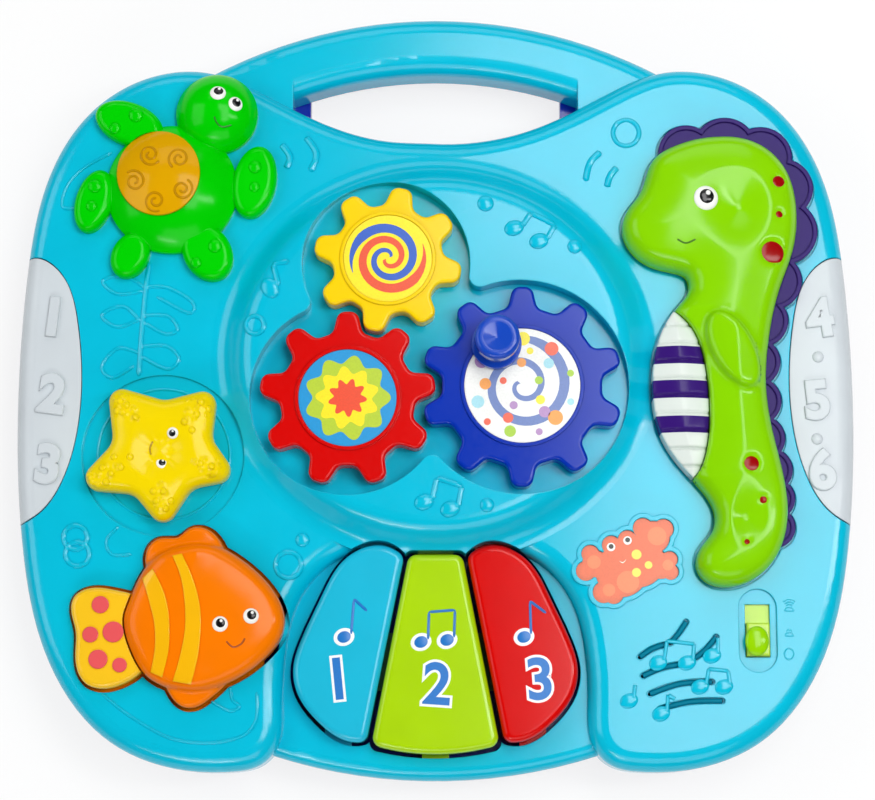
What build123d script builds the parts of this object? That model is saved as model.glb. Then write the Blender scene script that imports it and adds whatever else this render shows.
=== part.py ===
"""Activity board for small children: a handled housing with a geared mound,
sea animals, three piano keys, a fish button, a spinning star and a volume switch.

+Z is up, +X is to the right of the child and +Y points to the handle.  The
origin is under the middle of the housing, at the level it stands on.
"""
import os
from math import asin, cos, hypot, pi, radians, sin

from build123d import *

# Photograph the plan was traced from: its scale, its middle and the place of
# its lens, which looks at the rim of the housing from slightly below the middle.
BOARD_WIDTH = 380.0
BOARD_WIDTH_PX = 835.0
PHOTO_CENTRE_PX = (435.5, 400.0)
CAMERA_RANGE = 1100.0
CAMERA_TILT = 10.0

# Levels of the housing
FOOT_HEIGHT = 3.0
PARTING_Z = 15.0
BAY_Z = 30.0
HANDLE_TOP_Z = 34.0
DECK_Z = 40.0
MOUND_HEIGHT = 12.0
WELL_DEPTH = 9.0
WALL = 3.0
RIM_RADIUS = 8.5
BAY_RADIUS = 6.0
HANDLE_RADIUS = 8.0
TRAY_BAY_Z = 6.5
TRAY_HANDLE_Z = 5.0
TRAY_RADIUS = 7.0
TRAY_BAY_RADIUS = 4.0
TRAY_HANDLE_RADIUS = 6.0
TRAY_STEP = 1.0
TRAY_WALL = 2.5

# Housing outline, right half, from the finger gap round to the key bay
DECK_EDGE_PX = (
    (435.5, 144.5), (484, 142), (524, 133), (600, 99), (662, 74), (722, 79),
    (778, 112), (818, 170), (843, 275), (852.5, 400), (848, 550), (823, 660),
    (760, 743), (690, 770), (640, 772), (610, 765), (592, 744), (588, 705),
    (585, 650), (570, 598), (535, 561), (490, 547), (435.5, 544),
)
BAY_FRONT_PX = ((270.5, 755), (435.5, 781), (600.5, 755))
BAY_BACK_PX = 500.0
HANDLE_OUTER_PX = ((190, 85), (435.5, 18), (681, 85))
HANDLE_GRIP_PX = ((295.5, 108), (435.5, 83.5), (575.5, 108))
HANDLE_TRAY_GRIP_PX = ((314.5, 106), (435.5, 88), (556.5, 106))
HANDLE_ROOT_PX = (650.5, 150)
HANDLE_LID_SPOT = (68.25, 131.0)
HANDLE_LID_WIDTH = 17.5
HANDLE_LID_LENGTH = 22.0

# Raised mound with the gear well
MOUND_CENTRE_PX = (436, 357)
MOUND_WIDTH = 204.0
MOUND_DEPTH = 188.0
MOUND_SLOPE = 22.0
WELL_PLACES_PX = ((386, 262), (347.5, 397), (521, 386))
WELL_RADII = (38.0, 44.0, 48.6)
WELL_MIDDLE_PX = (428, 338)
WELL_MIDDLE_RADIUS = 9.0
WELL_BLEND = 5.0
MOUND_CORES_PX = ((498, 249), (428, 489))
MOUND_CORE_RADII = (9.0, 6.5)

# Gears: blue drives red, red drives yellow
GEAR_PLACES_PX = ((522.3, 385.5), (347.5, 397.9), (387.8, 258.4))
GEAR_TEETH = (10, 9, 8)
GEAR_TIPS = (45.4, 39.6, 33.5)
GEAR_ROOTS = (35.5, 29.7, 24.3)
GEAR_PHASES = (17.5, 10.2, 33.6)
GEAR_LABELS = (26.0, 22.0, 20.0)
GEAR_HEIGHT = 10.0
GEAR_FLOAT = 0.6
GEAR_EDGE = 1.6
TOOTH_TIP_WIDTH = 8.7
TOOTH_ROOT_WIDTH = 13.2
TOOTH_TIP_RADIUS = 4.2
TOOTH_ROOT_RADIUS = 4.6
LABEL_RING_WIDTH = 1.6
LABEL_RING_HEIGHT = 1.0
LABEL_THICKNESS = 0.5
LABEL_GAP = 0.15

# Bearings of the gears and the star
STEM_RADIUS = 5.0
RUNNING_GAP = 0.08
BUSH_RADIUS = 8.0
BUSH_LENGTH = 8.0
WASHER_RADIUS = 9.5
WASHER_THICKNESS = 1.6
WASHER_GAP = 0.5
SCREW_RADIUS = 1.5
SCREW_HEAD_RADIUS = 3.0
SCREW_HEAD_HEIGHT = 2.0
SCREW_GAP = 0.02
STEM_SCREW_LENGTH = 9.0

# Crank knob on the blue gear
CRANK_PLACE_PX = (496.2, 345.6)
CRANK_PIN_RADIUS = 3.0
CRANK_PIN_DEPTH = 6.0
CRANK_PIN_LENGTH = 14.0
KNOB_GAP = 0.6
KNOB_BASE_RADIUS = 11.2
KNOB_BASE_HEIGHT = 3.5
KNOB_WAIST_RADIUS = 8.4
KNOB_CAP_RADIUS = 10.0
KNOB_HEIGHT = 20.0
KNOB_CAP_HEIGHT = 7.0
KNOB_DISH_RADIUS = 6.5
KNOB_DISH_DEPTH = 1.6
KNOB_ROUND = 2.4

# Turtle
TURTLE_PX = (172.6, 191.0)
TURTLE_BODY_RADIUS = 30.0
TURTLE_BODY_HEIGHT = 16.0
TURTLE_FOOT = 3.0
TURTLE_HEAD_PX = (217.5, 116.0)
TURTLE_HEAD_RADIUS = 18.8
TURTLE_HEAD_HEIGHT = 15.0
TURTLE_DOME_PX = (161.0, 179.0)
TURTLE_DOME_WIDTH = 38.0
TURTLE_DOME_LENGTH = 41.5
TURTLE_DOME_ANGLE = 20.0
TURTLE_DOME_PROUD = 1.2
TURTLE_DOME_WALL = 3.0
TURTLE_DOME_POCKET = 7.0
TURTLE_FLIPPERS_PX = ((130.5, 126), (95, 203), (255, 184), (208, 254), (131, 257))
TURTLE_FLIPPER_LENGTHS = (33.0, 30.0, 34.0, 28.0, 22.0)
TURTLE_FLIPPER_WIDTHS = (20.0, 17.0, 20.0, 22.0, 17.0)
TURTLE_FLIPPER_ANGLES = (158.0, 255.0, 80.0, 300.0, 245.0)
TURTLE_FLIPPER_HEIGHT = 7.0
TURTLE_FLIPPER_ROUND = 4.0
LAMP_RADIUS = 2.5
LAMP_HEIGHT = 7.0
LAMP_RIM = 0.6

# Star
STAR_PX = (163.0, 455.0)
STAR_TIPS_PX = ((121.0, 403.4), (204.3, 406.2), (220.3, 473.6), (165.6, 510.0), (94.0, 482.0))
STAR_VALLEYS_PX = ((165.6, 403.7), (212.4, 441.3), (193.6, 489.0), (136.1, 494.7), (115.6, 445.5))
STAR_WIDTH = 64.0
STAR_WIDTH_PX = 140.6
STAR_TIP_OUT = 9.5
STAR_TIP_RADIUS = 6.0
STAR_VALLEY_RADIUS = 9.0
STAR_HEIGHT = 10.0
STAR_EDGE = 4.0
STAR_FLOAT = 1.6
STAR_RECESS_RADIUS = 36.5
STAR_RECESS_DEPTH = 1.0
STAR_BUMP_RADIUS = 1.7
STAR_BUMP_SHARES = ((0.6, 0), (0.73, 0.07), (0.73, -0.07), (0.86, 0), (0.98, 0.05), (0.98, -0.05))

# Fish button
FISH_PX = (180.0, 618.0)
FISH_LENGTH = 92.0
FISH_LENGTH_PX = 202.0
FISH_BODY_PX = (
    (128.1, 611.8), (141.1, 579.7), (155.7, 560.6), (173.3, 551.4), (197.8, 547.6),
    (216.1, 549.8), (236, 559.8), (257.4, 576.6), (274.3, 596.5), (282.7, 619.5),
    (278.9, 637.9), (266.6, 654.7), (248.3, 670), (225.3, 682.2), (197.8, 689.1),
    (176.3, 686.8), (151.8, 676.1), (135, 652),
)
FISH_FINS_PX = (
    (150, 575), (146, 557), (153, 545), (165, 541.5), (177, 541), (187, 533.5), (199, 531),
    (211, 536), (222, 550), (230, 620), (226, 682), (213, 694), (199, 703), (187, 704),
    (176, 697), (168, 684), (150, 640),
)
FISH_TAIL_PX = (
    (128, 594), (110, 590.5), (91, 590.5), (78, 598), (75, 612), (79.5, 630), (80, 650), (82.5, 669),
    (92, 682), (108, 686), (128, 681), (146, 668), (154, 636), (146, 606),
)
FISH_TAIL_SPOTS_PX = ((104, 606.5), (117, 632.5), (95, 635), (103, 658.5), (124, 664))
FISH_TAIL_SPOT_RADII = (3.8, 4.6, 3.5, 4.2, 3.2)
FISH_TAIL_SPOT_HEIGHT = 0.6
FISH_STRIPES_PX = (
    ((141.9, 577), (151.8, 627), (152.6, 676), (165.6, 682), (165.6, 605), (156.4, 559)),
    ((172.5, 551), (180.9, 593), (182.4, 630), (171.7, 686),
     (193.2, 690), (200.8, 630), (196.2, 593), (182.4, 548)),
)
FISH_STRIPE_HEIGHT = 0.7
FISH_BODY_TOP = 10.0
FISH_BODY_ROUND = 5.0
FISH_FIN_TOP = 5.5
FISH_FIN_ROUND = 2.0
FISH_TAIL_TOP = 6.5
FISH_TAIL_ROUND = 2.6
FISH_TAIL_GAP = 0.5
FISH_GAP = 1.5
FISH_FLANGE = 3.5
FISH_FLANGE_THICKNESS = 3.0
FISH_STOP_GAP = 0.4
FISH_TRAVEL = 3.0
FISH_PLUNGER_RADIUS = 6.0
FISH_PLUNGER_LENGTH = 3.0

# Seahorse
SEAHORSE_PX = (725.0, 360.0)
SEAHORSE_LENGTH = 203.0
SEAHORSE_LENGTH_PX = 446.5
SEAHORSE_BODY_PX = (
    (728.4, 137.5), (703, 139.5), (676, 147.5), (655.1, 161.4), (647.5, 179), (641, 196),
    (629, 212), (623.5, 229), (629, 248), (648.7, 266), (672, 273), (687, 279.5),
    (689, 292), (677, 310), (663, 331), (653, 362), (650.9, 391.8), (656.3, 430),
    (674.4, 462.6), (699.3, 491.3), (710.5, 513), (708, 530), (696, 546), (691.3, 563),
    (699, 577.5), (716.5, 584.1), (749.1, 575.5), (772, 550.6), (781.6, 514.3),
    (776.8, 468.4), (767.2, 424.4), (763.4, 382.3), (767.2, 342.1), (779.4, 291.3),
    (793.8, 251.5), (797.8, 211.6), (787.4, 170.2), (761.9, 145.4),
)
SEAHORSE_BELLY_PX = (
    (674, 316), (692, 335), (702, 365), (706, 407), (702, 453), (688, 480),
    (640, 470), (630, 390), (640, 330),
)
SEAHORSE_SCALES_PX = (
    (690, 152), (729, 147), (765, 156), (786, 188), (786, 232), (774, 282), (762, 322),
    (754, 363), (755, 402), (759, 439), (767, 470), (770, 498), (770, 526),
)
SEAHORSE_SCALE_RADII = (13.0, 14.3, 14.0, 13.8, 15.2, 13.0, 11.8, 11.4, 11.0, 10.4, 9.8, 9.2, 9.0)
SEAHORSE_SCALE_RIM = 2.0
SEAHORSE_SCALE_DISH = 0.8
SEAHORSE_FIN_PX = (729.0, 356.0)
SEAHORSE_FIN_LENGTH = 38.0
SEAHORSE_FIN_WIDTH = 19.0
SEAHORSE_FIN_ANGLE = 298.0
SEAHORSE_FIN_HEIGHT = 3.0
SEAHORSE_FIN_ROUND = 2.6
SEAHORSE_SPOTS_PX = ((778, 182), (779, 215), (772, 253), (751, 464), (763, 500), (747, 542))
SEAHORSE_SPOT_RADII = (3.2, 1.9, 5.6, 3.9, 1.9, 1.5)
SEAHORSE_SPOT_HEIGHT = 0.6
SEAHORSE_SPOT_DEPTH = 1.0
SEAHORSE_BODY_TOP = 13.0
SEAHORSE_BODY_ROUND = 6.5
SEAHORSE_BELLY_TOP = 9.0
SEAHORSE_CREST_TOP = 3.6
SEAHORSE_RECESS = 1.5
SEAHORSE_GAP = 1.0
SEAHORSE_JOINT = 0.25
SEAHORSE_RIB_COUNT = 9
SEAHORSE_RIB_GROOVE = 1.2
SEAHORSE_RIB_DEPTH = 1.4
SEAHORSE_RIB_REACH = 60.0
SEAHORSE_RIB_TOP_PX = 329.6
SEAHORSE_RIB_END_PX = 468.8

# Side panels
PANEL_EDGE_PX = (
    (27, 262.5), (48, 265), (66, 281), (80, 325), (84, 378), (79.5, 434), (66, 480), (45, 512), (16, 527),
)
PANEL_OUT_PX = -40.0
PANEL_GAP = 0.4
PANEL_TAB_PX = (84.0, 385.0)
PANEL_TAB_SET = 3.0
PANEL_TAB_WIDTH = 18.0
PANEL_TAB_LENGTH = 24.0
PANEL_STEM_SET = 7.0
PANEL_STEM_WIDTH = 10.0
PANEL_TAB_THICKNESS = 2.0
PANEL_TAB_GAP = 0.3

# Piano keys
KEY_SIDE_PX = (
    (366.5, 741), (346, 740.5), (316, 720), (296.5, 692), (293, 666), (300.5, 640),
    (322, 594), (343, 560), (371, 545), (404, 556),
)
KEY_MIDDLE_PX = ((408.5, 554), (462.5, 554), (500, 744.5), (371, 744.5))
KEY_MIDDLE_FRONT_PX = (435.5, 754)
KEY_CORNER = 4.5
KEY_EDGE = 3.0
KEY_GAP = 1.7
KEY_TOP = 11.0
KEY_SKIRT = 8.0
KEY_WALL = 2.5
KEY_ROD_PX = 531.0
KEY_ROD_DROP = 8.0
KEY_ROD_RADIUS = 2.0
KEY_ROD_LENGTH = 96.0
ROD_POST = 4.0
KEY_ARMS_PX = ((378, 556), (435.5, 562), (493, 556))
KEY_ARM_WIDTH = 16.0
KEY_ARM_HEIGHT = 8.0
KEY_TABS_PX = ((338, 736), (435.5, 752), (533, 736))
KEY_TAB_WIDTH = 12.0
KEY_TAB_LENGTH = 11.0
KEY_TAB_THICKNESS = 3.0
KEY_STOP_GAP = 0.4
KEY_DOMES_PX = ((340, 660), (435.5, 660), (531, 660))
KEY_PLUNGER_RADIUS = 4.0

# Rubber contact domes
DOME_BASE_RADIUS = 6.5
DOME_TOP_RADIUS = 4.0
DOME_HEIGHT = 4.4
DOME_WALL = 0.9

# Circuit boards
BOARD_THICKNESS = 1.6
KEY_BOARD_WIDTH = 112.0
KEY_BOARD_DEPTH = 26.0
FISH_BOARD_SIZE = 34.0
MAIN_BOARD_PX = (748.0, 543.0)
MAIN_BOARD_WIDTH = 22.0
MAIN_BOARD_DEPTH = 104.0
MAIN_BOARD_Z = 27.0
POST_RADIUS = 3.5
KEY_POSTS_ACROSS = 48.0
KEY_POSTS_ALONG = 9.0
FISH_POSTS_APART = 12.0
MAIN_POSTS_ACROSS = 6.0
MAIN_POSTS_ALONG = 38.0

# Volume switch
SWITCH_PX = (758.0, 630.5)
SWITCH_RECESS_WIDTH = 17.0
SWITCH_RECESS_LENGTH = 37.0
SWITCH_RECESS_DEPTH = 1.5
SWITCH_SLOT_WIDTH = 11.0
SWITCH_SLOT_LENGTH = 23.5
SWITCH_TRAVEL = 8.0
SWITCH_GAP = 0.4
SWITCH_PLATE_WIDTH = 16.0
SWITCH_PLATE_LENGTH = 39.0
SWITCH_PLATE_THICKNESS = 2.0
SWITCH_THUMB_TOP = 1.6
SWITCH_THUMB_ROUND = 1.0
SWITCH_NUB_RADIUS = 3.6
SWITCH_NUB_HEIGHT = 1.6
SWITCH_BODY_WIDTH = 9.0
SWITCH_BODY_LENGTH = 20.0
SWITCH_BODY_HEIGHT = 5.0

# Crab label, drawn as round lobes
CRAB_LOBES_PX = (
    (621.6, 570.9), (638.6, 561.1), (611.3, 545.0), (627.4, 539.6), (643.0, 528.0), (663.6, 529.0),
    (653.8, 537.0), (590.4, 553.9), (585.9, 570.9), (595.7, 563.8), (603.6, 592.3), (613.7, 594.1),
    (669.8, 559.3), (670.7, 571.8), (660.9, 565.5),
)
CRAB_LOBE_RADII = (11.8, 11.8, 4.3, 4.3, 4.6, 4.6, 7.3, 4.1, 4.5, 6.1, 4.9, 4.5, 3.7, 3.7, 6.1)
CRAB_RECESS = 0.8
CRAB_BORDER = 2.0
CRAB_BORDER_HEIGHT = 0.8
CRAB_THICKNESS = 0.4

# Loudspeaker and its slots
SPEAKER_PX = (679.0, 672.0)
SPEAKER_RADIUS = 25.0
SPEAKER_RIM = 4.0
SPEAKER_RIM_THICKNESS = 2.0
SPEAKER_CONE_DEPTH = 7.0
SPEAKER_BASKET_WALL = 1.2
SPEAKER_NECK_RADIUS = 10.0
SPEAKER_MAGNET_RADIUS = 13.0
SPEAKER_MAGNET_HEIGHT = 7.0
SPEAKER_CONE_THICKNESS = 0.6
SLOT_WIDTH = 3.0
SLOT_DEPTH = 2.0
SOUND_HOLE_RADIUS = 0.8
SLOTS_PX = (
    ((640, 657), (652, 649), (664, 645)), ((670, 643), (678, 634), (686, 622)),
    ((643, 676), (662, 668), (684, 664)), ((690, 661), (703, 652), (716, 637)),
    ((650, 694), (680, 684), (712, 682)), ((660, 709), (690, 702), (722, 701)),
)

# Batteries
BATTERY_PX = (435.5, 232.0)
BATTERY_RADIUS = 7.25
BATTERY_LENGTH = 50.5
BATTERY_NIB_RADIUS = 2.6
BATTERY_NIB_LENGTH = 1.2
BATTERY_PITCH = 15.5
BATTERY_COUNT = 3
BATTERY_ROOM = 1.2
CONTACT_THICKNESS = 0.5
CONTACT_WIDTH = 11.0
CONTACT_GAP = 0.6
BOX_WALL = 2.0
DOOR_THICKNESS = 2.2
DOOR_LEDGE = 5.0
DOOR_GAP = 0.3

# Leg sockets
SOCKET_PLACES_PX = ((117.5, 215), (753.5, 215), (117.5, 622), (753.5, 622))
SOCKET_RADIUS = 14.0
SOCKET_BORE_RADIUS = 11.0
SOCKET_DEPTH = 20.0
SOCKET_CAP = 2.0

# Housing screws
CASE_SCREWS_PX = (
    (435.5, 47), (235.5, 112), (635.5, 112), (99, 312), (772, 312),
    (88, 545), (783, 545), (240, 742), (631, 742),
)
CASE_BOSS_RADIUS = 4.5
CASE_COUNTERBORE = 3.6
CASE_WEB = 2.5
CASE_SCREW_LENGTH = 12.0
FIGURE_SCREWS_PX = ((200, 225), (217.5, 120), (735, 215), (742, 520))
FIGURE_SCREW_LENGTH = 8.0

MM_PER_PX = BOARD_WIDTH / BOARD_WIDTH_PX
TILT = radians(CAMERA_TILT)
RIM_Z = DECK_Z - RIM_RADIUS
CREST_Z = DECK_Z + MOUND_HEIGHT
WELL_Z = CREST_Z - WELL_DEPTH
CEILING_Z = DECK_Z - WALL
BAY_CEILING_Z = BAY_Z - WALL
GEAR_TOP_Z = WELL_Z + GEAR_FLOAT + GEAR_HEIGHT
EMBED = WALL / 2


def sight(pixel, height):
    """Plan point, before centring, seen at a photograph pixel on a level."""
    across = (pixel[0] - PHOTO_CENTRE_PX[0]) * MM_PER_PX
    up = (PHOTO_CENTRE_PX[1] - pixel[1]) * MM_PER_PX
    lift = height - RIM_Z
    near = CAMERA_RANGE - lift * cos(TILT)
    y = (up * near - CAMERA_RANGE * lift * sin(TILT)) / (CAMERA_RANGE * cos(TILT) - up * sin(TILT))
    return across * (near + y * sin(TILT)) / CAMERA_RANGE, y


PLAN_MIDDLE = (sight(HANDLE_OUTER_PX[1], RIM_Z)[1] + sight(BAY_FRONT_PX[1], RIM_Z)[1]) / 2


def place(pixel, height=DECK_Z):
    """Plan point of a photograph pixel, measured from the middle of the housing."""
    x, y = sight(pixel, height)
    return x, y - PLAN_MIDDLE


def trace(points, anchor, unit, height=DECK_Z):
    """Outline read in pixels round an anchor, drawn at its own scale."""
    x, y = place(anchor, height)
    return [(x + (px - anchor[0]) * unit, y + (anchor[1] - py) * unit / cos(TILT)) for px, py in points]


def grown(points, distance):
    """Closed outline moved outward, or inward for a negative distance."""
    area = sum(a[0] * b[1] - b[0] * a[1] for a, b in zip(points, points[1:] + points[:1]))
    turn = distance if area > 0 else -distance
    moved = []
    for before, point, after in zip(points[-1:] + points[:-1], points, points[1:] + points[:1]):
        dx, dy = after[0] - before[0], after[1] - before[1]
        span = hypot(dx, dy)
        moved.append((point[0] + turn * dy / span, point[1] - turn * dx / span))
    return moved


def mirrored(points):
    """Right half of an outline joined with its mirror image."""
    return list(points) + [(-x, y) for x, y in reversed(points[1:-1])]


def curve_face(points):
    """Face inside a smooth closed curve."""
    with BuildSketch() as face:
        with BuildLine():
            Spline(*points, periodic=True)
        make_face()
    return face.sketch


def prism(face, low, high):
    """Face drawn out between two levels."""
    with BuildPart() as block:
        with BuildSketch(Plane.XY.offset(low)):
            add(face)
        extrude(amount=high - low)
    return block.part


def rounded(face, low, high, radius):
    """Face drawn out between two levels, with a rounded edge at the second one."""
    with BuildPart() as block:
        with BuildSketch(Plane.XY.offset(low)):
            add(face)
        extrude(amount=high - low)
        fillet(block.edges().group_by(Axis.Z)[-1 if high > low else 0], radius)
    return block.part


def drum(spot, radius, low, high):
    """Upright cylinder between two levels."""
    with BuildPart() as block:
        with BuildSketch(Plane((spot[0], spot[1], low))):
            Circle(radius)
        extrude(amount=high - low)
    return block.part


def slab(spot, width, depth, low, high):
    """Upright block, centred in plan, between two levels."""
    with BuildPart() as block:
        with BuildSketch(Plane((spot[0], spot[1], low))):
            Rectangle(width, depth)
        extrude(amount=high - low)
    return block.part


def turned(spot, profile):
    """Solid of revolution about an upright axis, from (radius, level) points."""
    with BuildPart() as block:
        with BuildSketch(Plane((spot[0], spot[1], 0), x_dir=(1, 0, 0), z_dir=(0, -1, 0))):
            with BuildLine():
                Polyline(*profile, close=True)
            make_face()
        revolve(axis=Axis((spot[0], spot[1], 0), (0, 0, 1)))
    return block.part


def screw(spot, seat, length, up=True):
    """Pan-head screw whose head lies against the seat level and points down."""
    sign = 1 if up else -1
    with BuildPart() as block:
        add(drum(spot, SCREW_RADIUS, seat, seat + sign * length))
        add(drum(spot, SCREW_HEAD_RADIUS, seat - sign * SCREW_HEAD_HEIGHT, seat))
    return block.part


DECK_EDGE = mirrored([place(p, RIM_Z) for p in DECK_EDGE_PX])


def bay_face(inset):
    """Key bay in plan: its front is an arc, its other sides lie under the deck."""
    left, front, right = [(x, y + inset) for x, y in [place(p, RIM_Z) for p in BAY_FRONT_PX]]
    back = place((0, BAY_BACK_PX))[1]
    with BuildSketch() as face:
        with BuildLine():
            ThreePointArc(left, front, right)
            Polyline(right, (right[0], back), (left[0], back), left)
        make_face()
    return face.sketch


def handle_face(inset, grip):
    """Handle in plan: a bar between two arcs, with roots that lie under the deck."""
    left, crown, right = [(x, y - inset) for x, y in [place(p, RIM_Z) for p in HANDLE_OUTER_PX]]
    shifts = (-inset, 0, inset)
    grip_left, grip_middle, grip_right = [(x + shift, y + inset) for (x, y), shift in zip(grip, shifts)]
    root = place(HANDLE_ROOT_PX, RIM_Z)
    with BuildSketch() as face:
        with BuildLine():
            ThreePointArc(left, crown, right)
            Polyline(right, root, (grip_right[0], root[1]), grip_right)
            ThreePointArc(grip_right, grip_middle, grip_left)
            Polyline(grip_left, (grip_left[0], root[1]), (-root[0], root[1]), left)
        make_face()
    return face.sketch


def form(inset, levels, radii, grip):
    """Deck, bay and handle drawn out from the parting plane to their levels."""
    outward = -1 if levels[0] > PARTING_Z else 0
    with BuildPart() as handle:
        with BuildSketch(Plane.XY.offset(PARTING_Z)):
            add(handle_face(inset, grip))
        extrude(amount=levels[2] - PARTING_Z)
        fillet(handle.edges().group_by(Axis.Z)[outward].filter_by(GeomType.CIRCLE), radii[2])
    with BuildPart() as bay:
        with BuildSketch(Plane.XY.offset(PARTING_Z)):
            add(bay_face(inset))
        extrude(amount=levels[1] - PARTING_Z)
        fillet(bay.edges().group_by(Axis.Z)[outward].filter_by(GeomType.CIRCLE), radii[1])
    with BuildPart() as body:
        add(rounded(curve_face(grown(DECK_EDGE, -inset)), PARTING_Z, levels[0], radii[0]))
        add(bay.part)
        add(handle.part)
    return body.part


def housing(inset):
    """Upper body of the housing without its mound, moved in by a wall."""
    levels = (DECK_Z - inset, BAY_Z - inset, HANDLE_TOP_Z - inset)
    radii = (RIM_RADIUS - inset, BAY_RADIUS - inset, HANDLE_RADIUS - inset)
    return form(inset, levels, radii, [place(p, PARTING_Z) for p in HANDLE_GRIP_PX])


def tray(inset):
    """Lower body of the housing, moved in by a wall."""
    levels = (FOOT_HEIGHT + inset, TRAY_BAY_Z + inset, TRAY_HANDLE_Z + inset)
    radii = (TRAY_RADIUS - inset, TRAY_BAY_RADIUS - inset, TRAY_HANDLE_RADIUS - inset)
    return form(TRAY_STEP + inset, levels, radii, [place(p, FOOT_HEIGHT) for p in HANDLE_TRAY_GRIP_PX])


def mound():
    """Oval mound with a flat crest and a flowing foot."""
    foot = MOUND_WIDTH / 2
    with BuildPart() as block:
        with BuildSketch(Plane.XZ):
            with BuildLine():
                Spline((foot, DECK_Z), (foot - MOUND_SLOPE, CREST_Z), tangents=((-1, 0), (-1, 0)))
                Polyline(
                    (foot - MOUND_SLOPE, CREST_Z), (0, CREST_Z), (0, BAY_Z), (foot, BAY_Z), (foot, DECK_Z),
                )
            make_face()
        revolve(axis=Axis.Z)
        scale(by=(1, MOUND_DEPTH / MOUND_WIDTH, 1))
    x, y = place(MOUND_CENTRE_PX)
    return block.part.moved(Location((x, y, 0)))


def well_face():
    """Three joined circles, one round each gear."""
    with BuildSketch() as face:
        for pixel, radius in zip(WELL_PLACES_PX, WELL_RADII):
            with Locations(place(pixel, CREST_Z)):
                Circle(radius)
        with Locations(place(WELL_MIDDLE_PX, CREST_Z)):
            Circle(WELL_MIDDLE_RADIUS)
        fillet(face.vertices(), WELL_BLEND)
    return face.sketch


def side_key_face(grow):
    """Left key in plan, or the opening round it."""
    points = grown([place(p, BAY_Z + KEY_TOP) for p in KEY_SIDE_PX], grow)
    with BuildSketch() as face:
        with BuildLine():
            Spline(*points)
            Line(points[-1], points[0])
        make_face()
        fillet(face.vertices(), KEY_CORNER)
    return face.sketch


def middle_key_face(grow):
    """Middle key in plan with a bowed front, or the opening round it."""
    ways = ((-1, 1), (1, 1), (1, -1), (-1, -1))
    corners = [place(p, BAY_Z + KEY_TOP) for p in KEY_MIDDLE_PX]
    points = [(x + grow * across, y + grow * along) for (x, y), (across, along) in zip(corners, ways)]
    front = place(KEY_MIDDLE_FRONT_PX, BAY_Z + KEY_TOP)
    with BuildSketch() as face:
        with BuildLine():
            Polyline(points[3], points[0], points[1], points[2])
            ThreePointArc(points[2], (front[0], front[1] - grow), points[3])
        make_face()
        fillet(face.vertices(), KEY_CORNER)
    return face.sketch


def key_faces(grow):
    """The three keys in plan, from left to right."""
    return side_key_face(grow), middle_key_face(grow), mirror(side_key_face(grow), Plane.YZ)


def key_opening():
    """Opening for the three keys, with a gap all round."""
    with BuildSketch() as face:
        for key_face in key_faces(KEY_GAP):
            add(key_face)
    return face.sketch


FISH_UNIT = FISH_LENGTH / FISH_LENGTH_PX
FISH_BODY = trace(FISH_BODY_PX, FISH_PX, FISH_UNIT)
FISH_FINS = trace(FISH_FINS_PX, FISH_PX, FISH_UNIT)
FISH_TAIL = trace(FISH_TAIL_PX, FISH_PX, FISH_UNIT)
SEAHORSE_UNIT = SEAHORSE_LENGTH / SEAHORSE_LENGTH_PX
SEAHORSE_BODY = trace(SEAHORSE_BODY_PX, SEAHORSE_PX, SEAHORSE_UNIT)
SEAHORSE_BELLY = trace(SEAHORSE_BELLY_PX, SEAHORSE_PX, SEAHORSE_UNIT)
SEAHORSE_SCALES = trace(SEAHORSE_SCALES_PX, SEAHORSE_PX, SEAHORSE_UNIT)
GEAR_PLACES = [place(p, GEAR_TOP_Z) for p in GEAR_PLACES_PX]
STAR_PLACE = place(STAR_PX)
STAR_FLOOR_Z = DECK_Z - STAR_RECESS_DEPTH
SPINNERS = [(spot, WELL_Z) for spot in GEAR_PLACES] + [(STAR_PLACE, STAR_FLOOR_Z)]
SWITCH = place(SWITCH_PX)
SPEAKER = place(SPEAKER_PX)
LAMP = place(TURTLE_DOME_PX)
ROD_Y = place((0, KEY_ROD_PX), BAY_Z)[1]
ROD_Z = BAY_Z - KEY_ROD_DROP


def fish_face(grow):
    """Whole fish in plan."""
    with BuildSketch() as face:
        for outline in (FISH_BODY, FISH_FINS, FISH_TAIL):
            add(curve_face(grown(outline, grow)))
    return face.sketch


def crest_face(grow):
    """Row of round scales along the back of the seahorse."""
    with BuildSketch() as face:
        for spot, radius in zip(SEAHORSE_SCALES, SEAHORSE_SCALE_RADII):
            with Locations(spot):
                Circle(radius + grow)
    return face.sketch


def panel_face(side, grow):
    """Side panel in plan, drawn past the outer edge of the housing."""
    edge = [place(p, RIM_Z) for p in PANEL_EDGE_PX]
    out = place((PANEL_OUT_PX, PHOTO_CENTRE_PX[1]), RIM_Z)[0]
    edge = [(x + grow, y) for x, y in edge]
    edge[0] = (edge[0][0], edge[0][1] + grow)
    edge[-1] = (edge[-1][0], edge[-1][1] - grow)
    edge[1] = (edge[1][0], edge[1][1] + grow)
    edge[-2] = (edge[-2][0], edge[-2][1] - grow)
    with BuildSketch() as face:
        with BuildLine():
            Spline(*[(side * -x, y) for x, y in edge])
            Polyline(
                (side * -edge[-1][0], edge[-1][1]), (side * -out, edge[-1][1]),
                (side * -out, edge[0][1]), (side * -edge[0][0], edge[0][1]),
            )
        make_face()
    return face.sketch


def slot_face(points):
    """Rounded slot along an arc through three points."""
    with BuildSketch() as face:
        with BuildLine(mode=Mode.PRIVATE) as middle:
            ThreePointArc(*[place(p) for p in points])
        SlotArc(middle.edges()[0], SLOT_WIDTH)
    return face.sketch


def crab_face(grow):
    """Lobed label field in the shape of a crab."""
    with BuildSketch() as face:
        for pixel, radius in zip(CRAB_LOBES_PX, CRAB_LOBE_RADII):
            with Locations(place(pixel)):
                Circle(radius + grow)
    return face.sketch


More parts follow.
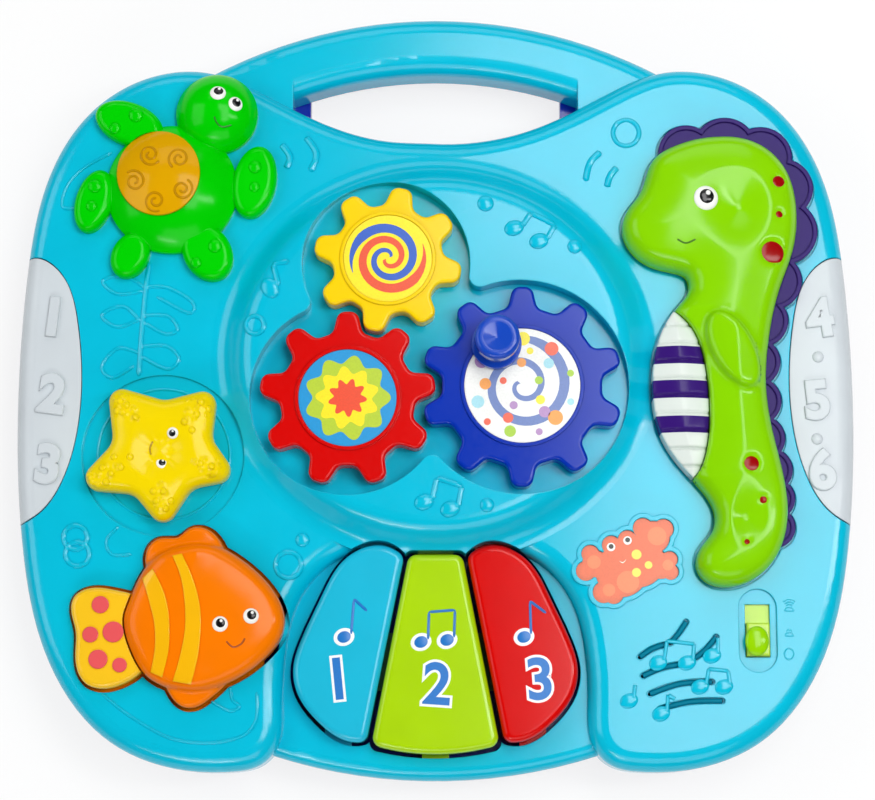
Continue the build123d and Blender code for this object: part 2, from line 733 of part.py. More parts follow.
def stadium(spot, width, length):
    """Upright slot shape along Y."""
    with BuildSketch() as face:
        SlotOverall(length, width, rotation=90)
    return face.sketch.moved(Location((spot[0], spot[1], 0)))


def cushion(pixel, radius, height):
    """Domed body that stands on the deck with a short upright foot."""
    x, y = place(pixel)
    rise = height - TURTLE_FOOT
    ball = (radius ** 2 + rise ** 2) / (2 * rise)
    lean = asin(radius / ball) / 2
    with BuildPart() as block:
        with BuildSketch(Plane((x, y, DECK_Z), x_dir=(1, 0, 0), z_dir=(0, -1, 0))):
            with BuildLine():
                Polyline((0, height), (0, 0), (radius, 0), (radius, TURTLE_FOOT))
                shoulder = (ball * sin(lean), height - ball + ball * cos(lean))
                ThreePointArc((radius, TURTLE_FOOT), shoulder, (0, height))
            make_face()
        revolve(axis=Axis((x, y, 0), (0, 0, 1)))
    return block.part


def oval(spot, length, width, angle):
    """Ellipse in plan, turned by an angle."""
    with BuildSketch() as face:
        Ellipse(length / 2, width / 2, rotation=angle)
    return face.sketch.moved(Location((spot[0], spot[1], 0)))


def rod(radius):
    """Hinge rod of the keys, along X."""
    with BuildPart() as block:
        with BuildSketch(Plane((-KEY_ROD_LENGTH / 2, ROD_Y, ROD_Z), x_dir=(0, 1, 0), z_dir=(1, 0, 0))):
            Circle(radius)
        extrude(amount=KEY_ROD_LENGTH)
    return block.part


def case_spot(pixel):
    """Plan point of a housing screw."""
    return place(pixel, RIM_Z)


def dome_face(inset):
    """Light dome of the turtle in plan."""
    return oval(LAMP, TURTLE_DOME_LENGTH - 2 * inset, TURTLE_DOME_WIDTH - 2 * inset, 90 + TURTLE_DOME_ANGLE)


BOX = place(BATTERY_PX)
BOX_WIDTH = BATTERY_COUNT * BATTERY_PITCH + BATTERY_ROOM
BOX_INNER_LENGTH = BATTERY_LENGTH + 2 * (CONTACT_THICKNESS + CONTACT_GAP)
BOX_LENGTH = BOX_INNER_LENGTH + 2 * DOOR_LEDGE
BOX_TOP_Z = FOOT_HEIGHT + DOOR_THICKNESS + CONTACT_GAP + 2 * BATTERY_RADIUS + CONTACT_GAP + BOX_WALL
DOOR_SCREW = (BOX[0], BOX[1] - BOX_LENGTH / 2 + DOOR_LEDGE / 2)
DOOR_SCREW_TOP = FOOT_HEIGHT + DOOR_THICKNESS + FIGURE_SCREW_LENGTH
ROD_POST_X = KEY_ROD_LENGTH / 2 - ROD_POST
FISH_PLATE_Z = CEILING_Z - FISH_STOP_GAP
KEY_BOARD_Z = BAY_Z - KEY_SKIRT - DOME_HEIGHT
FISH_BOARD_Z = FISH_PLATE_Z - FISH_FLANGE_THICKNESS - FISH_PLUNGER_LENGTH - DOME_HEIGHT
KEY_BOARD_SPOT = place(KEY_DOMES_PX[1], BAY_Z)
FISH_SPOT = place(FISH_PX)
MAIN_BOARD_SPOT = place(MAIN_BOARD_PX)


def posts(spot, across, along, low, high):
    """Four posts under the corners of a circuit board."""
    with BuildPart() as block:
        for side in (-1, 1):
            for end in (-1, 1):
                add(drum((spot[0] + side * across, spot[1] + end * along), POST_RADIUS, low, high))
    return block.part


HOUSING = housing(0)
ROOM = housing(WALL)

with BuildPart() as top_shell:
    add(HOUSING)
    for side in (-1, 1):
        add(prism(panel_face(side, PANEL_GAP), PARTING_Z - WALL, DECK_Z + WALL), mode=Mode.SUBTRACT)
    add(mound())
    add(ROOM, mode=Mode.SUBTRACT)
    for pixel, radius in zip(MOUND_CORES_PX, MOUND_CORE_RADII):
        add(drum(place(pixel, CREST_Z), radius, BAY_Z, CREST_Z - WALL), mode=Mode.SUBTRACT)
    add(prism(well_face(), WELL_Z, CREST_Z + WALL), mode=Mode.SUBTRACT)
    add(prism(crab_face(CRAB_BORDER), DECK_Z - EMBED, DECK_Z + CRAB_BORDER_HEIGHT))
    add(prism(crab_face(0), DECK_Z - CRAB_RECESS, DECK_Z + WALL), mode=Mode.SUBTRACT)
    add(prism(key_opening(), PARTING_Z, CREST_Z), mode=Mode.SUBTRACT)
    fish_low = FISH_PLATE_Z - FISH_TRAVEL - FISH_STOP_GAP
    add(prism(fish_face(FISH_GAP), fish_low, DECK_Z + WALL), mode=Mode.SUBTRACT)
    recess = stadium(SWITCH, SWITCH_RECESS_WIDTH, SWITCH_RECESS_LENGTH)
    add(prism(recess, DECK_Z - SWITCH_RECESS_DEPTH, DECK_Z + WALL), mode=Mode.SUBTRACT)
    slot = slab(SWITCH, SWITCH_SLOT_WIDTH, SWITCH_SLOT_LENGTH, CEILING_Z - WALL, DECK_Z + WALL)
    add(slot, mode=Mode.SUBTRACT)
    for points in SLOTS_PX:
        add(prism(slot_face(points), DECK_Z - SLOT_DEPTH, DECK_Z + WALL), mode=Mode.SUBTRACT)
        for point in points:
            add(drum(place(point), SOUND_HOLE_RADIUS, CEILING_Z - WALL, DECK_Z), mode=Mode.SUBTRACT)
    with BuildPart(mode=Mode.PRIVATE) as bed:
        add(prism(curve_face(grown(SEAHORSE_BODY, SEAHORSE_GAP)), DECK_Z - SEAHORSE_RECESS, DECK_Z + WALL))
        add(prism(crest_face(SEAHORSE_GAP), DECK_Z - SEAHORSE_RECESS, DECK_Z + WALL))
    add(bed.part, mode=Mode.SUBTRACT)
    add(drum(STAR_PLACE, STAR_RECESS_RADIUS, STAR_FLOOR_Z, DECK_Z + WALL), mode=Mode.SUBTRACT)
    add(drum(LAMP, LAMP_RADIUS, CEILING_Z - WALL, DECK_Z + WALL), mode=Mode.SUBTRACT)
    for pixel in FIGURE_SCREWS_PX:
        add(drum(place(pixel), SCREW_RADIUS + SCREW_GAP, CEILING_Z - WALL, DECK_Z + WALL), mode=Mode.SUBTRACT)
    for pixel in CASE_SCREWS_PX:
        spot = case_spot(pixel)
        high = HANDLE_TOP_Z if pixel == CASE_SCREWS_PX[0] else DECK_Z
        with BuildPart(mode=Mode.PRIVATE) as boss:
            add(drum(spot, CASE_BOSS_RADIUS, PARTING_Z, high - EMBED))
            pilot = drum(spot, SCREW_RADIUS + SCREW_GAP, PARTING_Z, PARTING_Z + CASE_SCREW_LENGTH)
            add(pilot, mode=Mode.SUBTRACT)
        add(boss.part)
    for spot, floor in SPINNERS:
        add(drum(spot, BUSH_RADIUS + WALL, floor - BUSH_LENGTH, floor - EMBED))
    for spot, floor in SPINNERS:
        add(drum(spot, BUSH_RADIUS, floor - 2 * BUSH_LENGTH, floor + WALL), mode=Mode.SUBTRACT)
top_shell.part.label = "top_shell"


with BuildPart() as bottom_shell:
    add(tray(0))
    add(tray(TRAY_WALL), mode=Mode.SUBTRACT)
    for side in (-1, 1):
        lid_spot = (side * HANDLE_LID_SPOT[0], HANDLE_LID_SPOT[1])
        add(slab(lid_spot, HANDLE_LID_WIDTH, HANDLE_LID_LENGTH, PARTING_Z - WALL, PARTING_Z))
    for pixel in SOCKET_PLACES_PX:
        add(drum(place(pixel), SOCKET_RADIUS, 0, SOCKET_DEPTH + SOCKET_CAP))
    for pixel in CASE_SCREWS_PX:
        add(drum(case_spot(pixel), CASE_BOSS_RADIUS, FOOT_HEIGHT, PARTING_Z))
    add(slab(BOX, BOX_WIDTH + 2 * BOX_WALL, BOX_LENGTH + 2 * BOX_WALL, FOOT_HEIGHT, BOX_TOP_Z))
    floor = FOOT_HEIGHT + TRAY_WALL / 2
    bay_floor = TRAY_BAY_Z + TRAY_WALL / 2
    add(posts(KEY_BOARD_SPOT, KEY_POSTS_ACROSS, KEY_POSTS_ALONG, bay_floor, KEY_BOARD_Z - BOARD_THICKNESS))
    add(posts(FISH_SPOT, FISH_POSTS_APART, FISH_POSTS_APART, floor, FISH_BOARD_Z - BOARD_THICKNESS))
    add(posts(MAIN_BOARD_SPOT, MAIN_POSTS_ACROSS, MAIN_POSTS_ALONG, floor, MAIN_BOARD_Z))
    for side in (-1, 1):
        add(slab((side * ROD_POST_X, ROD_Y), ROD_POST, 2 * ROD_POST, FOOT_HEIGHT, ROD_Z + ROD_POST))
    for pixel in SOCKET_PLACES_PX:
        add(drum(place(pixel), SOCKET_BORE_RADIUS, 0, SOCKET_DEPTH), mode=Mode.SUBTRACT)
    for pixel in CASE_SCREWS_PX:
        spot = case_spot(pixel)
        add(drum(spot, CASE_COUNTERBORE, 0, PARTING_Z - CASE_WEB), mode=Mode.SUBTRACT)
        add(drum(spot, SCREW_RADIUS + SCREW_GAP, 0, PARTING_Z), mode=Mode.SUBTRACT)
    add(slab(BOX, BOX_WIDTH, BOX_INNER_LENGTH, 0, BOX_TOP_Z - BOX_WALL), mode=Mode.SUBTRACT)
    add(slab(BOX, BOX_WIDTH, BOX_LENGTH, 0, FOOT_HEIGHT + DOOR_THICKNESS), mode=Mode.SUBTRACT)
    add(drum(DOOR_SCREW, SCREW_RADIUS + SCREW_GAP, 0, DOOR_SCREW_TOP), mode=Mode.SUBTRACT)
    add(rod(KEY_ROD_RADIUS + SCREW_GAP), mode=Mode.SUBTRACT)
bottom_shell.part.label = "bottom_shell"


def side_panel(side):
    """White panel that carries on the rim of the housing, with a tab under the deck."""
    x, y = place(PANEL_TAB_PX, RIM_Z)
    edge = -side * x
    high = CEILING_Z - PANEL_TAB_GAP
    low = high - PANEL_TAB_THICKNESS
    with BuildPart() as panel:
        add(HOUSING)
        add(prism(panel_face(side, 0), PARTING_Z, DECK_Z + WALL), mode=Mode.INTERSECT)
        add(ROOM, mode=Mode.SUBTRACT)
        stem_x = edge + side * PANEL_STEM_SET
        add(slab((stem_x, y), PANEL_STEM_WIDTH, PANEL_TAB_LENGTH, low, CEILING_Z + EMBED))
        tab_x = edge + side * PANEL_TAB_SET
        add(slab((tab_x, y), PANEL_TAB_WIDTH, PANEL_TAB_LENGTH, low, high))
    return panel.part


with BuildPart() as side_panel_left:
    add(side_panel(-1))
side_panel_left.part.label = "side_panel_left"

with BuildPart() as side_panel_right:
    add(side_panel(1))
side_panel_right.part.label = "side_panel_right"

with BuildPart() as spinner_bushes:
    for spot, floor in SPINNERS:
        add(drum(spot, BUSH_RADIUS, floor - BUSH_LENGTH, floor))
        add(drum(spot, STEM_RADIUS + RUNNING_GAP, floor - BUSH_LENGTH, floor), mode=Mode.SUBTRACT)
spinner_bushes.part.label = "spinner_bushes"


def stem(spot, floor, base):
    """Stem of a turning piece: it runs in its bush and takes a screw from below."""
    low = floor - BUSH_LENGTH - WASHER_GAP
    with BuildPart() as block:
        add(drum(spot, STEM_RADIUS, low, base))
        add(drum(spot, SCREW_RADIUS + SCREW_GAP, low, low + STEM_SCREW_LENGTH), mode=Mode.SUBTRACT)
    return block.part


def retainer(spot, floor):
    """Washer under the bush."""
    high = floor - BUSH_LENGTH - WASHER_GAP
    with BuildPart() as block:
        add(drum(spot, WASHER_RADIUS, high - WASHER_THICKNESS, high))
        add(drum(spot, SCREW_RADIUS + SCREW_GAP, high - WASHER_THICKNESS, high), mode=Mode.SUBTRACT)
    return block.part


def retainer_screw(spot, floor):
    """Screw that holds the washer to the stem."""
    seat = floor - BUSH_LENGTH - WASHER_GAP - WASHER_THICKNESS
    return screw(spot, seat, WASHER_THICKNESS + STEM_SCREW_LENGTH - WALL)


def gear(index):
    """Toothed wheel with rounded teeth, a ringed label field and a stem."""
    spot, teeth = GEAR_PLACES[index], GEAR_TEETH[index]
    tip, root, label = GEAR_TIPS[index], GEAR_ROOTS[index], GEAR_LABELS[index]
    corners = (
        (root, -TOOTH_ROOT_WIDTH / 2), (tip, -TOOTH_TIP_WIDTH / 2),
        (tip, TOOTH_TIP_WIDTH / 2), (root, TOOTH_ROOT_WIDTH / 2),
    )
    points = []
    for tooth in range(teeth):
        angle = radians(GEAR_PHASES[index]) + 2 * pi * tooth / teeth
        for along, across in corners:
            x = along * cos(angle) - across * sin(angle)
            y = along * sin(angle) + across * cos(angle)
            points.append((x, y))
    middle = (tip + root) / 2
    low = WELL_Z + GEAR_FLOAT
    with BuildPart() as wheel:
        with BuildSketch(Plane((spot[0], spot[1], low))) as face:
            with BuildLine():
                Polyline(*points, close=True)
            make_face()
            fillet([v for v in face.vertices() if hypot(v.X, v.Y) > middle], TOOTH_TIP_RADIUS)
            foot = hypot(root, TOOTH_ROOT_WIDTH / 2)
            fillet([v for v in face.vertices() if hypot(v.X, v.Y) < foot + SCREW_GAP], TOOTH_ROOT_RADIUS)
        extrude(amount=GEAR_HEIGHT)
        fillet(wheel.edges().group_by(Axis.Z)[-1], GEAR_EDGE)
        add(drum(spot, label + LABEL_RING_WIDTH, GEAR_TOP_Z, GEAR_TOP_Z + LABEL_RING_HEIGHT))
        add(drum(spot, label, GEAR_TOP_Z, GEAR_TOP_Z + LABEL_RING_HEIGHT), mode=Mode.SUBTRACT)
        add(stem(spot, WELL_Z, low))
    return wheel.part


def gear_label(index):
    """Printed disc inside the ring of a gear."""
    return drum(GEAR_PLACES[index], GEAR_LABELS[index] - LABEL_GAP, GEAR_TOP_Z, GEAR_TOP_Z + LABEL_THICKNESS)


CRANK = place(CRANK_PLACE_PX, GEAR_TOP_Z)
CRANK_LOW_Z = GEAR_TOP_Z - CRANK_PIN_DEPTH
KNOB_LOW_Z = GEAR_TOP_Z + LABEL_RING_HEIGHT + KNOB_GAP
KNOB_TOP_Z = KNOB_LOW_Z + KNOB_HEIGHT
CRANK_TOP_Z = GEAR_TOP_Z + CRANK_PIN_LENGTH

with BuildPart() as blue_gear:
    add(gear(0))
    add(drum(CRANK, CRANK_PIN_RADIUS, CRANK_LOW_Z, GEAR_TOP_Z + WALL), mode=Mode.SUBTRACT)
blue_gear.part.label = "blue_gear"

with BuildPart() as blue_gear_label:
    add(gear_label(0))
    add(drum(CRANK, CRANK_PIN_RADIUS, CRANK_LOW_Z, GEAR_TOP_Z + WALL), mode=Mode.SUBTRACT)
blue_gear_label.part.label = "blue_gear_label"

with BuildPart() as crank_pin:
    add(drum(CRANK, CRANK_PIN_RADIUS, CRANK_LOW_Z, CRANK_TOP_Z))
crank_pin.part.label = "crank_pin"

with BuildPart() as crank_knob:
    add(turned(CRANK, (
        (0, KNOB_LOW_Z), (KNOB_BASE_RADIUS, KNOB_LOW_Z), (KNOB_BASE_RADIUS, KNOB_LOW_Z + KNOB_BASE_HEIGHT),
        (KNOB_WAIST_RADIUS, KNOB_LOW_Z + KNOB_BASE_HEIGHT), (KNOB_WAIST_RADIUS, KNOB_TOP_Z - KNOB_CAP_HEIGHT),
        (KNOB_CAP_RADIUS, KNOB_TOP_Z - KNOB_CAP_HEIGHT), (KNOB_CAP_RADIUS, KNOB_TOP_Z), (0, KNOB_TOP_Z),
    )))
    fillet(crank_knob.edges().group_by(Axis.Z)[-1], KNOB_ROUND)
    add(turned(CRANK, (
        (0, KNOB_TOP_Z - KNOB_DISH_DEPTH), (KNOB_DISH_RADIUS, KNOB_TOP_Z), (0, KNOB_TOP_Z),
    )), mode=Mode.SUBTRACT)
    add(drum(CRANK, CRANK_PIN_RADIUS + RUNNING_GAP, KNOB_LOW_Z, CRANK_TOP_Z + KNOB_GAP), mode=Mode.SUBTRACT)
crank_knob.part.label = "crank_knob"

with BuildPart() as red_gear:
    add(gear(1))
red_gear.part.label = "red_gear"

with BuildPart() as red_gear_label:
    add(gear_label(1))
red_gear_label.part.label = "red_gear_label"

with BuildPart() as yellow_gear:
    add(gear(2))
yellow_gear.part.label = "yellow_gear"

with BuildPart() as yellow_gear_label:
    add(gear_label(2))
yellow_gear_label.part.label = "yellow_gear_label"

STAR_UNIT = STAR_WIDTH / STAR_WIDTH_PX
STAR_LOW_Z = STAR_FLOOR_Z + STAR_FLOAT
STAR_TOP_Z = STAR_LOW_Z + STAR_HEIGHT

with BuildPart() as star:
    tips = trace(STAR_TIPS_PX, STAR_PX, STAR_UNIT)
    valleys = trace(STAR_VALLEYS_PX, STAR_PX, STAR_UNIT)
    corners = []
    for tip, valley in zip(tips, valleys):
        dx, dy = tip[0] - STAR_PLACE[0], tip[1] - STAR_PLACE[1]
        out = 1 + STAR_TIP_OUT / hypot(dx, dy)
        corners += [(STAR_PLACE[0] + dx * out, STAR_PLACE[1] + dy * out), valley]
    with BuildSketch(Plane.XY.offset(STAR_LOW_Z)) as star_face:
        with BuildLine():
            Polyline(*corners, close=True)
        make_face()
        for spots, radius in ((corners[::2], STAR_TIP_RADIUS), (valleys, STAR_VALLEY_RADIUS)):
            ends = star_face.vertices()
            fillet([v for v in ends if any(hypot(v.X - x, v.Y - y) < SCREW_GAP for x, y in spots)], radius)
    extrude(amount=STAR_HEIGHT)
    fillet(star.edges().group_by(Axis.Z)[-1], STAR_EDGE)
    for tip in tips:
        dx, dy = tip[0] - STAR_PLACE[0], tip[1] - STAR_PLACE[1]
        for along, across in STAR_BUMP_SHARES:
            x = STAR_PLACE[0] + dx * along - dy * across
            y = STAR_PLACE[1] + dy * along + dx * across
            with Locations((x, y, STAR_TOP_Z - STAR_BUMP_RADIUS / 2)):
                Sphere(STAR_BUMP_RADIUS)
    add(stem(STAR_PLACE, STAR_FLOOR_Z, STAR_LOW_Z))
star.part.label = "star"

with BuildPart() as turtle_body:
    add(cushion(TURTLE_PX, TURTLE_BODY_RADIUS, TURTLE_BODY_HEIGHT))
    add(cushion(TURTLE_HEAD_PX, TURTLE_HEAD_RADIUS, TURTLE_HEAD_HEIGHT))
    flippers = zip(TURTLE_FLIPPERS_PX, TURTLE_FLIPPER_LENGTHS, TURTLE_FLIPPER_WIDTHS, TURTLE_FLIPPER_ANGLES)
    for pixel, length, width, angle in flippers:
        face = oval(place(pixel), length, width, angle)
        add(rounded(face, DECK_Z, DECK_Z + TURTLE_FLIPPER_HEIGHT, TURTLE_FLIPPER_ROUND))
    add(prism(dome_face(0), DECK_Z, DECK_Z + 2 * TURTLE_BODY_HEIGHT), mode=Mode.SUBTRACT)
    for pixel in FIGURE_SCREWS_PX[:2]:
        pilot = drum(place(pixel), SCREW_RADIUS + SCREW_GAP, DECK_Z, DECK_Z + FIGURE_SCREW_LENGTH)
        add(pilot, mode=Mode.SUBTRACT)
turtle_body.part.label = "turtle_body"

with BuildPart() as turtle_dome:
    add(cushion(TURTLE_PX, TURTLE_BODY_RADIUS + TURTLE_DOME_PROUD, TURTLE_BODY_HEIGHT + TURTLE_DOME_PROUD))
    add(prism(dome_face(SCREW_GAP), DECK_Z, DECK_Z + 2 * TURTLE_BODY_HEIGHT), mode=Mode.INTERSECT)
    add(prism(dome_face(TURTLE_DOME_WALL), DECK_Z, DECK_Z + TURTLE_DOME_POCKET), mode=Mode.SUBTRACT)
turtle_dome.part.label = "turtle_dome"

with BuildPart() as turtle_lamp:
    add(drum(LAMP, LAMP_RADIUS, CEILING_Z, CEILING_Z + LAMP_HEIGHT))
    fillet(turtle_lamp.edges().group_by(Axis.Z)[-1], LAMP_RADIUS - LAMP_RIM)
    add(drum(LAMP, LAMP_RADIUS + LAMP_RIM, CEILING_Z - LAMP_RIM, CEILING_Z))
turtle_lamp.part.label = "turtle_lamp"

BED_Z = DECK_Z - SEAHORSE_RECESS
with BuildPart() as seahorse_body:
    add(rounded(curve_face(SEAHORSE_BODY), BED_Z, DECK_Z + SEAHORSE_BODY_TOP, SEAHORSE_BODY_ROUND))
    fin = oval(place(SEAHORSE_FIN_PX), SEAHORSE_FIN_LENGTH, SEAHORSE_FIN_WIDTH, SEAHORSE_FIN_ANGLE)
    fin_top = DECK_Z + SEAHORSE_BODY_TOP + SEAHORSE_FIN_HEIGHT
    add(rounded(fin, DECK_Z + SEAHORSE_BODY_TOP - SEAHORSE_BODY_ROUND, fin_top, SEAHORSE_FIN_ROUND))
    belly = curve_face(grown(SEAHORSE_BELLY, SEAHORSE_JOINT))
    add(prism(belly, BED_Z, DECK_Z + 2 * SEAHORSE_BODY_TOP), mode=Mode.SUBTRACT)
    for pixel, radius in zip(SEAHORSE_SPOTS_PX, SEAHORSE_SPOT_RADII):
        low = DECK_Z + SEAHORSE_BODY_TOP - SEAHORSE_SPOT_DEPTH
        add(drum(place(pixel, low), radius, low, DECK_Z + 2 * SEAHORSE_BODY_TOP), mode=Mode.SUBTRACT)
    for pixel in FIGURE_SCREWS_PX[2:]:
        pilot = drum(place(pixel), SCREW_RADIUS + SCREW_GAP, BED_Z, DECK_Z + FIGURE_SCREW_LENGTH)
        add(pilot, mode=Mode.SUBTRACT)
seahorse_body.part.label = "seahorse_body"

with BuildPart() as seahorse_belly:
    with BuildSketch(Plane.XY.offset(BED_Z)):
        add(curve_face(SEAHORSE_BODY))
        add(curve_face(SEAHORSE_BELLY), mode=Mode.INTERSECT)
    extrude(amount=SEAHORSE_BELLY_TOP + SEAHORSE_RECESS)
    for rib in range(SEAHORSE_RIB_COUNT):
        share = rib / (SEAHORSE_RIB_COUNT - 1)
        row = SEAHORSE_RIB_TOP_PX + share * (SEAHORSE_RIB_END_PX - SEAHORSE_RIB_TOP_PX)
        groove_top = DECK_Z + SEAHORSE_BELLY_TOP
        groove = slab(place((SEAHORSE_BELLY_PX[0][0], row)), SEAHORSE_RIB_REACH, SEAHORSE_RIB_GROOVE,
                      groove_top - SEAHORSE_RIB_DEPTH, groove_top + WALL)
        add(groove, mode=Mode.SUBTRACT)
seahorse_belly.part.label = "seahorse_belly"

with BuildPart() as seahorse_crest:
    add(prism(crest_face(0), BED_Z, DECK_Z + SEAHORSE_CREST_TOP))
    for spot, radius in zip(SEAHORSE_SCALES, SEAHORSE_SCALE_RADII):
        low = DECK_Z + SEAHORSE_CREST_TOP - SEAHORSE_SCALE_DISH
        add(drum(spot, radius - SEAHORSE_SCALE_RIM, low, DECK_Z + 2 * SEAHORSE_CREST_TOP), mode=Mode.SUBTRACT)
    whole = curve_face(grown(SEAHORSE_BODY, SEAHORSE_JOINT))
    add(prism(whole, BED_Z, DECK_Z + 2 * SEAHORSE_CREST_TOP), mode=Mode.SUBTRACT)
seahorse_crest.part.label = "seahorse_crest"

with BuildPart() as seahorse_spots:
    for pixel, radius in zip(SEAHORSE_SPOTS_PX, SEAHORSE_SPOT_RADII):
        low = DECK_Z + SEAHORSE_BODY_TOP - SEAHORSE_SPOT_DEPTH
        high = DECK_Z + SEAHORSE_BODY_TOP + SEAHORSE_SPOT_HEIGHT
        add(drum(place(pixel, low), radius - SCREW_GAP, low, high))
seahorse_spots.part.label = "seahorse_spots"

with BuildPart() as crab_label:
    add(prism(crab_face(-LABEL_GAP), DECK_Z - CRAB_RECESS, DECK_Z - CRAB_RECESS + CRAB_THICKNESS))
crab_label.part.label = "crab_label"


def fish_dome_form(grow):
    """Rounded body of the fish, or a skin of it grown by a thickness."""
    face = curve_face(grown(FISH_BODY, grow))
    return rounded(face, FISH_PLATE_Z, DECK_Z + FISH_BODY_TOP + grow, FISH_BODY_ROUND + grow)


with BuildPart() as fish_body:
    with BuildSketch() as flange:
        add(fish_face(FISH_FLANGE))
        add(curve_face(grown(DECK_EDGE, -RIM_RADIUS)), mode=Mode.INTERSECT)
    add(prism(flange.sketch, FISH_PLATE_Z - FISH_FLANGE_THICKNESS, FISH_PLATE_Z))
    add(rounded(curve_face(FISH_FINS), FISH_PLATE_Z, DECK_Z + FISH_FIN_TOP, FISH_FIN_ROUND))
    tail = curve_face(grown(FISH_TAIL, FISH_TAIL_GAP))
    add(prism(tail, FISH_PLATE_Z, DECK_Z + 2 * FISH_BODY_TOP), mode=Mode.SUBTRACT)
    add(fish_dome_form(0))
    plunger_low = FISH_PLATE_Z - FISH_FLANGE_THICKNESS - FISH_PLUNGER_LENGTH
    add(drum(FISH_SPOT, FISH_PLUNGER_RADIUS, plunger_low, FISH_PLATE_Z))
fish_body.part.label = "fish_body"

with BuildPart() as fish_tail:
    add(rounded(curve_face(FISH_TAIL), FISH_PLATE_Z, DECK_Z + FISH_TAIL_TOP, FISH_TAIL_ROUND))
    nose = curve_face(grown(FISH_BODY, FISH_TAIL_GAP))
    add(prism(nose, FISH_PLATE_Z, DECK_Z + 2 * FISH_TAIL_TOP), mode=Mode.SUBTRACT)
fish_tail.part.label = "fish_tail"

with BuildPart() as fish_tail_spots:
    spots = trace(FISH_TAIL_SPOTS_PX, FISH_PX, FISH_UNIT)
    for spot, radius in zip(spots, FISH_TAIL_SPOT_RADII):
        add(drum(spot, radius, DECK_Z + FISH_TAIL_TOP, DECK_Z + FISH_TAIL_TOP + FISH_TAIL_SPOT_HEIGHT))
fish_tail_spots.part.label = "fish_tail_spots"

with BuildPart() as fish_stripes:
    add(fish_dome_form(FISH_STRIPE_HEIGHT))
    with BuildPart(mode=Mode.PRIVATE) as bands:
        for band in FISH_STRIPES_PX:
            face = curve_face(trace(band, FISH_PX, FISH_UNIT))
            add(prism(face, DECK_Z + FISH_FIN_TOP, DECK_Z + 2 * FISH_BODY_TOP))
    add(bands.part, mode=Mode.INTERSECT)
    add(fish_dome_form(0), mode=Mode.SUBTRACT)
fish_stripes.part.label = "fish_stripes"


def key(index):
    """Hollow key with a hinge lug, a plunger and a stop tab."""
    face = key_faces(0)[index]
    room = key_faces(-KEY_WALL)[index]
    arm = place(KEY_ARMS_PX[index], BAY_Z)
    tab = place(KEY_TABS_PX[index], BAY_Z)
    low, high = BAY_Z - KEY_SKIRT, BAY_Z + KEY_TOP
    with BuildPart() as block:
        add(rounded(face, low, high, KEY_EDGE))
        add(prism(room, low, high - KEY_WALL), mode=Mode.SUBTRACT)
        middle = (arm[0], (arm[1] + ROD_Y) / 2)
        add(slab(middle, KEY_ARM_WIDTH, ROD_Y - arm[1], low, ROD_Z + KEY_ARM_HEIGHT / 2))
        with BuildSketch(Plane((arm[0] - KEY_ARM_WIDTH / 2, ROD_Y, ROD_Z), x_dir=(0, 1, 0), z_dir=(1, 0, 0))):
            Circle(KEY_ARM_HEIGHT / 2)
        extrude(amount=KEY_ARM_WIDTH)
        stop_high = BAY_CEILING_Z - KEY_STOP_GAP
        add(slab(tab, KEY_TAB_WIDTH, KEY_TAB_LENGTH, stop_high - KEY_TAB_THICKNESS, stop_high))
        add(drum(place(KEY_DOMES_PX[index], BAY_Z), KEY_PLUNGER_RADIUS, low, high - KEY_WALL))
        add(rod(KEY_ROD_RADIUS + RUNNING_GAP), mode=Mode.SUBTRACT)
    return block.part


with BuildPart() as key_left:
    add(key(0))
key_left.part.label = "key_left"

with BuildPart() as key_middle:
    add(key(1))
key_middle.part.label = "key_middle"

with BuildPart() as key_right:
    add(key(2))
key_right.part.label = "key_right"

with BuildPart() as key_hinge_rod:
    add(rod(KEY_ROD_RADIUS))
key_hinge_rod.part.label = "key_hinge_rod"


def contact_dome(spot, board):
    """Hollow rubber dome that stands on a board."""
    return turned(spot, (
        (0, board + DOME_HEIGHT), (DOME_TOP_RADIUS, board + DOME_HEIGHT), (DOME_BASE_RADIUS, board),
        (DOME_BASE_RADIUS - DOME_WALL, board), (DOME_TOP_RADIUS - DOME_WALL, board + DOME_HEIGHT - DOME_WALL),
        (0, board + DOME_HEIGHT - DOME_WALL),
    ))


with BuildPart() as key_dome_left:
    add(contact_dome(place(KEY_DOMES_PX[0], BAY_Z), KEY_BOARD_Z))
key_dome_left.part.label = "key_dome_left"

with BuildPart() as key_dome_middle:
    add(contact_dome(place(KEY_DOMES_PX[1], BAY_Z), KEY_BOARD_Z))
key_dome_middle.part.label = "key_dome_middle"

with BuildPart() as key_dome_right:
    add(contact_dome(place(KEY_DOMES_PX[2], BAY_Z), KEY_BOARD_Z))
key_dome_right.part.label = "key_dome_right"

with BuildPart() as fish_dome:
    add(contact_dome(FISH_SPOT, FISH_BOARD_Z))
fish_dome.part.label = "fish_dome"

with BuildPart() as key_board:
    low = KEY_BOARD_Z - BOARD_THICKNESS
    add(slab(KEY_BOARD_SPOT, KEY_BOARD_WIDTH, KEY_BOARD_DEPTH, low, KEY_BOARD_Z))
key_board.part.label = "key_board"

with BuildPart() as fish_board:
    low = FISH_BOARD_Z - BOARD_THICKNESS
    add(slab(FISH_SPOT, FISH_BOARD_SIZE, FISH_BOARD_SIZE, low, FISH_BOARD_Z))
fish_board.part.label = "fish_board"

with BuildPart() as main_board:
    high = MAIN_BOARD_Z + BOARD_THICKNESS
    add(slab(MAIN_BOARD_SPOT, MAIN_BOARD_WIDTH, MAIN_BOARD_DEPTH, MAIN_BOARD_Z, high))
main_board.part.label = "main_board"

SWITCH_PLATE_Z = CEILING_Z - SWITCH_GAP
THUMB_LENGTH = SWITCH_SLOT_LENGTH - SWITCH_TRAVEL - 2 * SWITCH_GAP
THUMB = (SWITCH[0], SWITCH[1] - SWITCH_TRAVEL / 2)

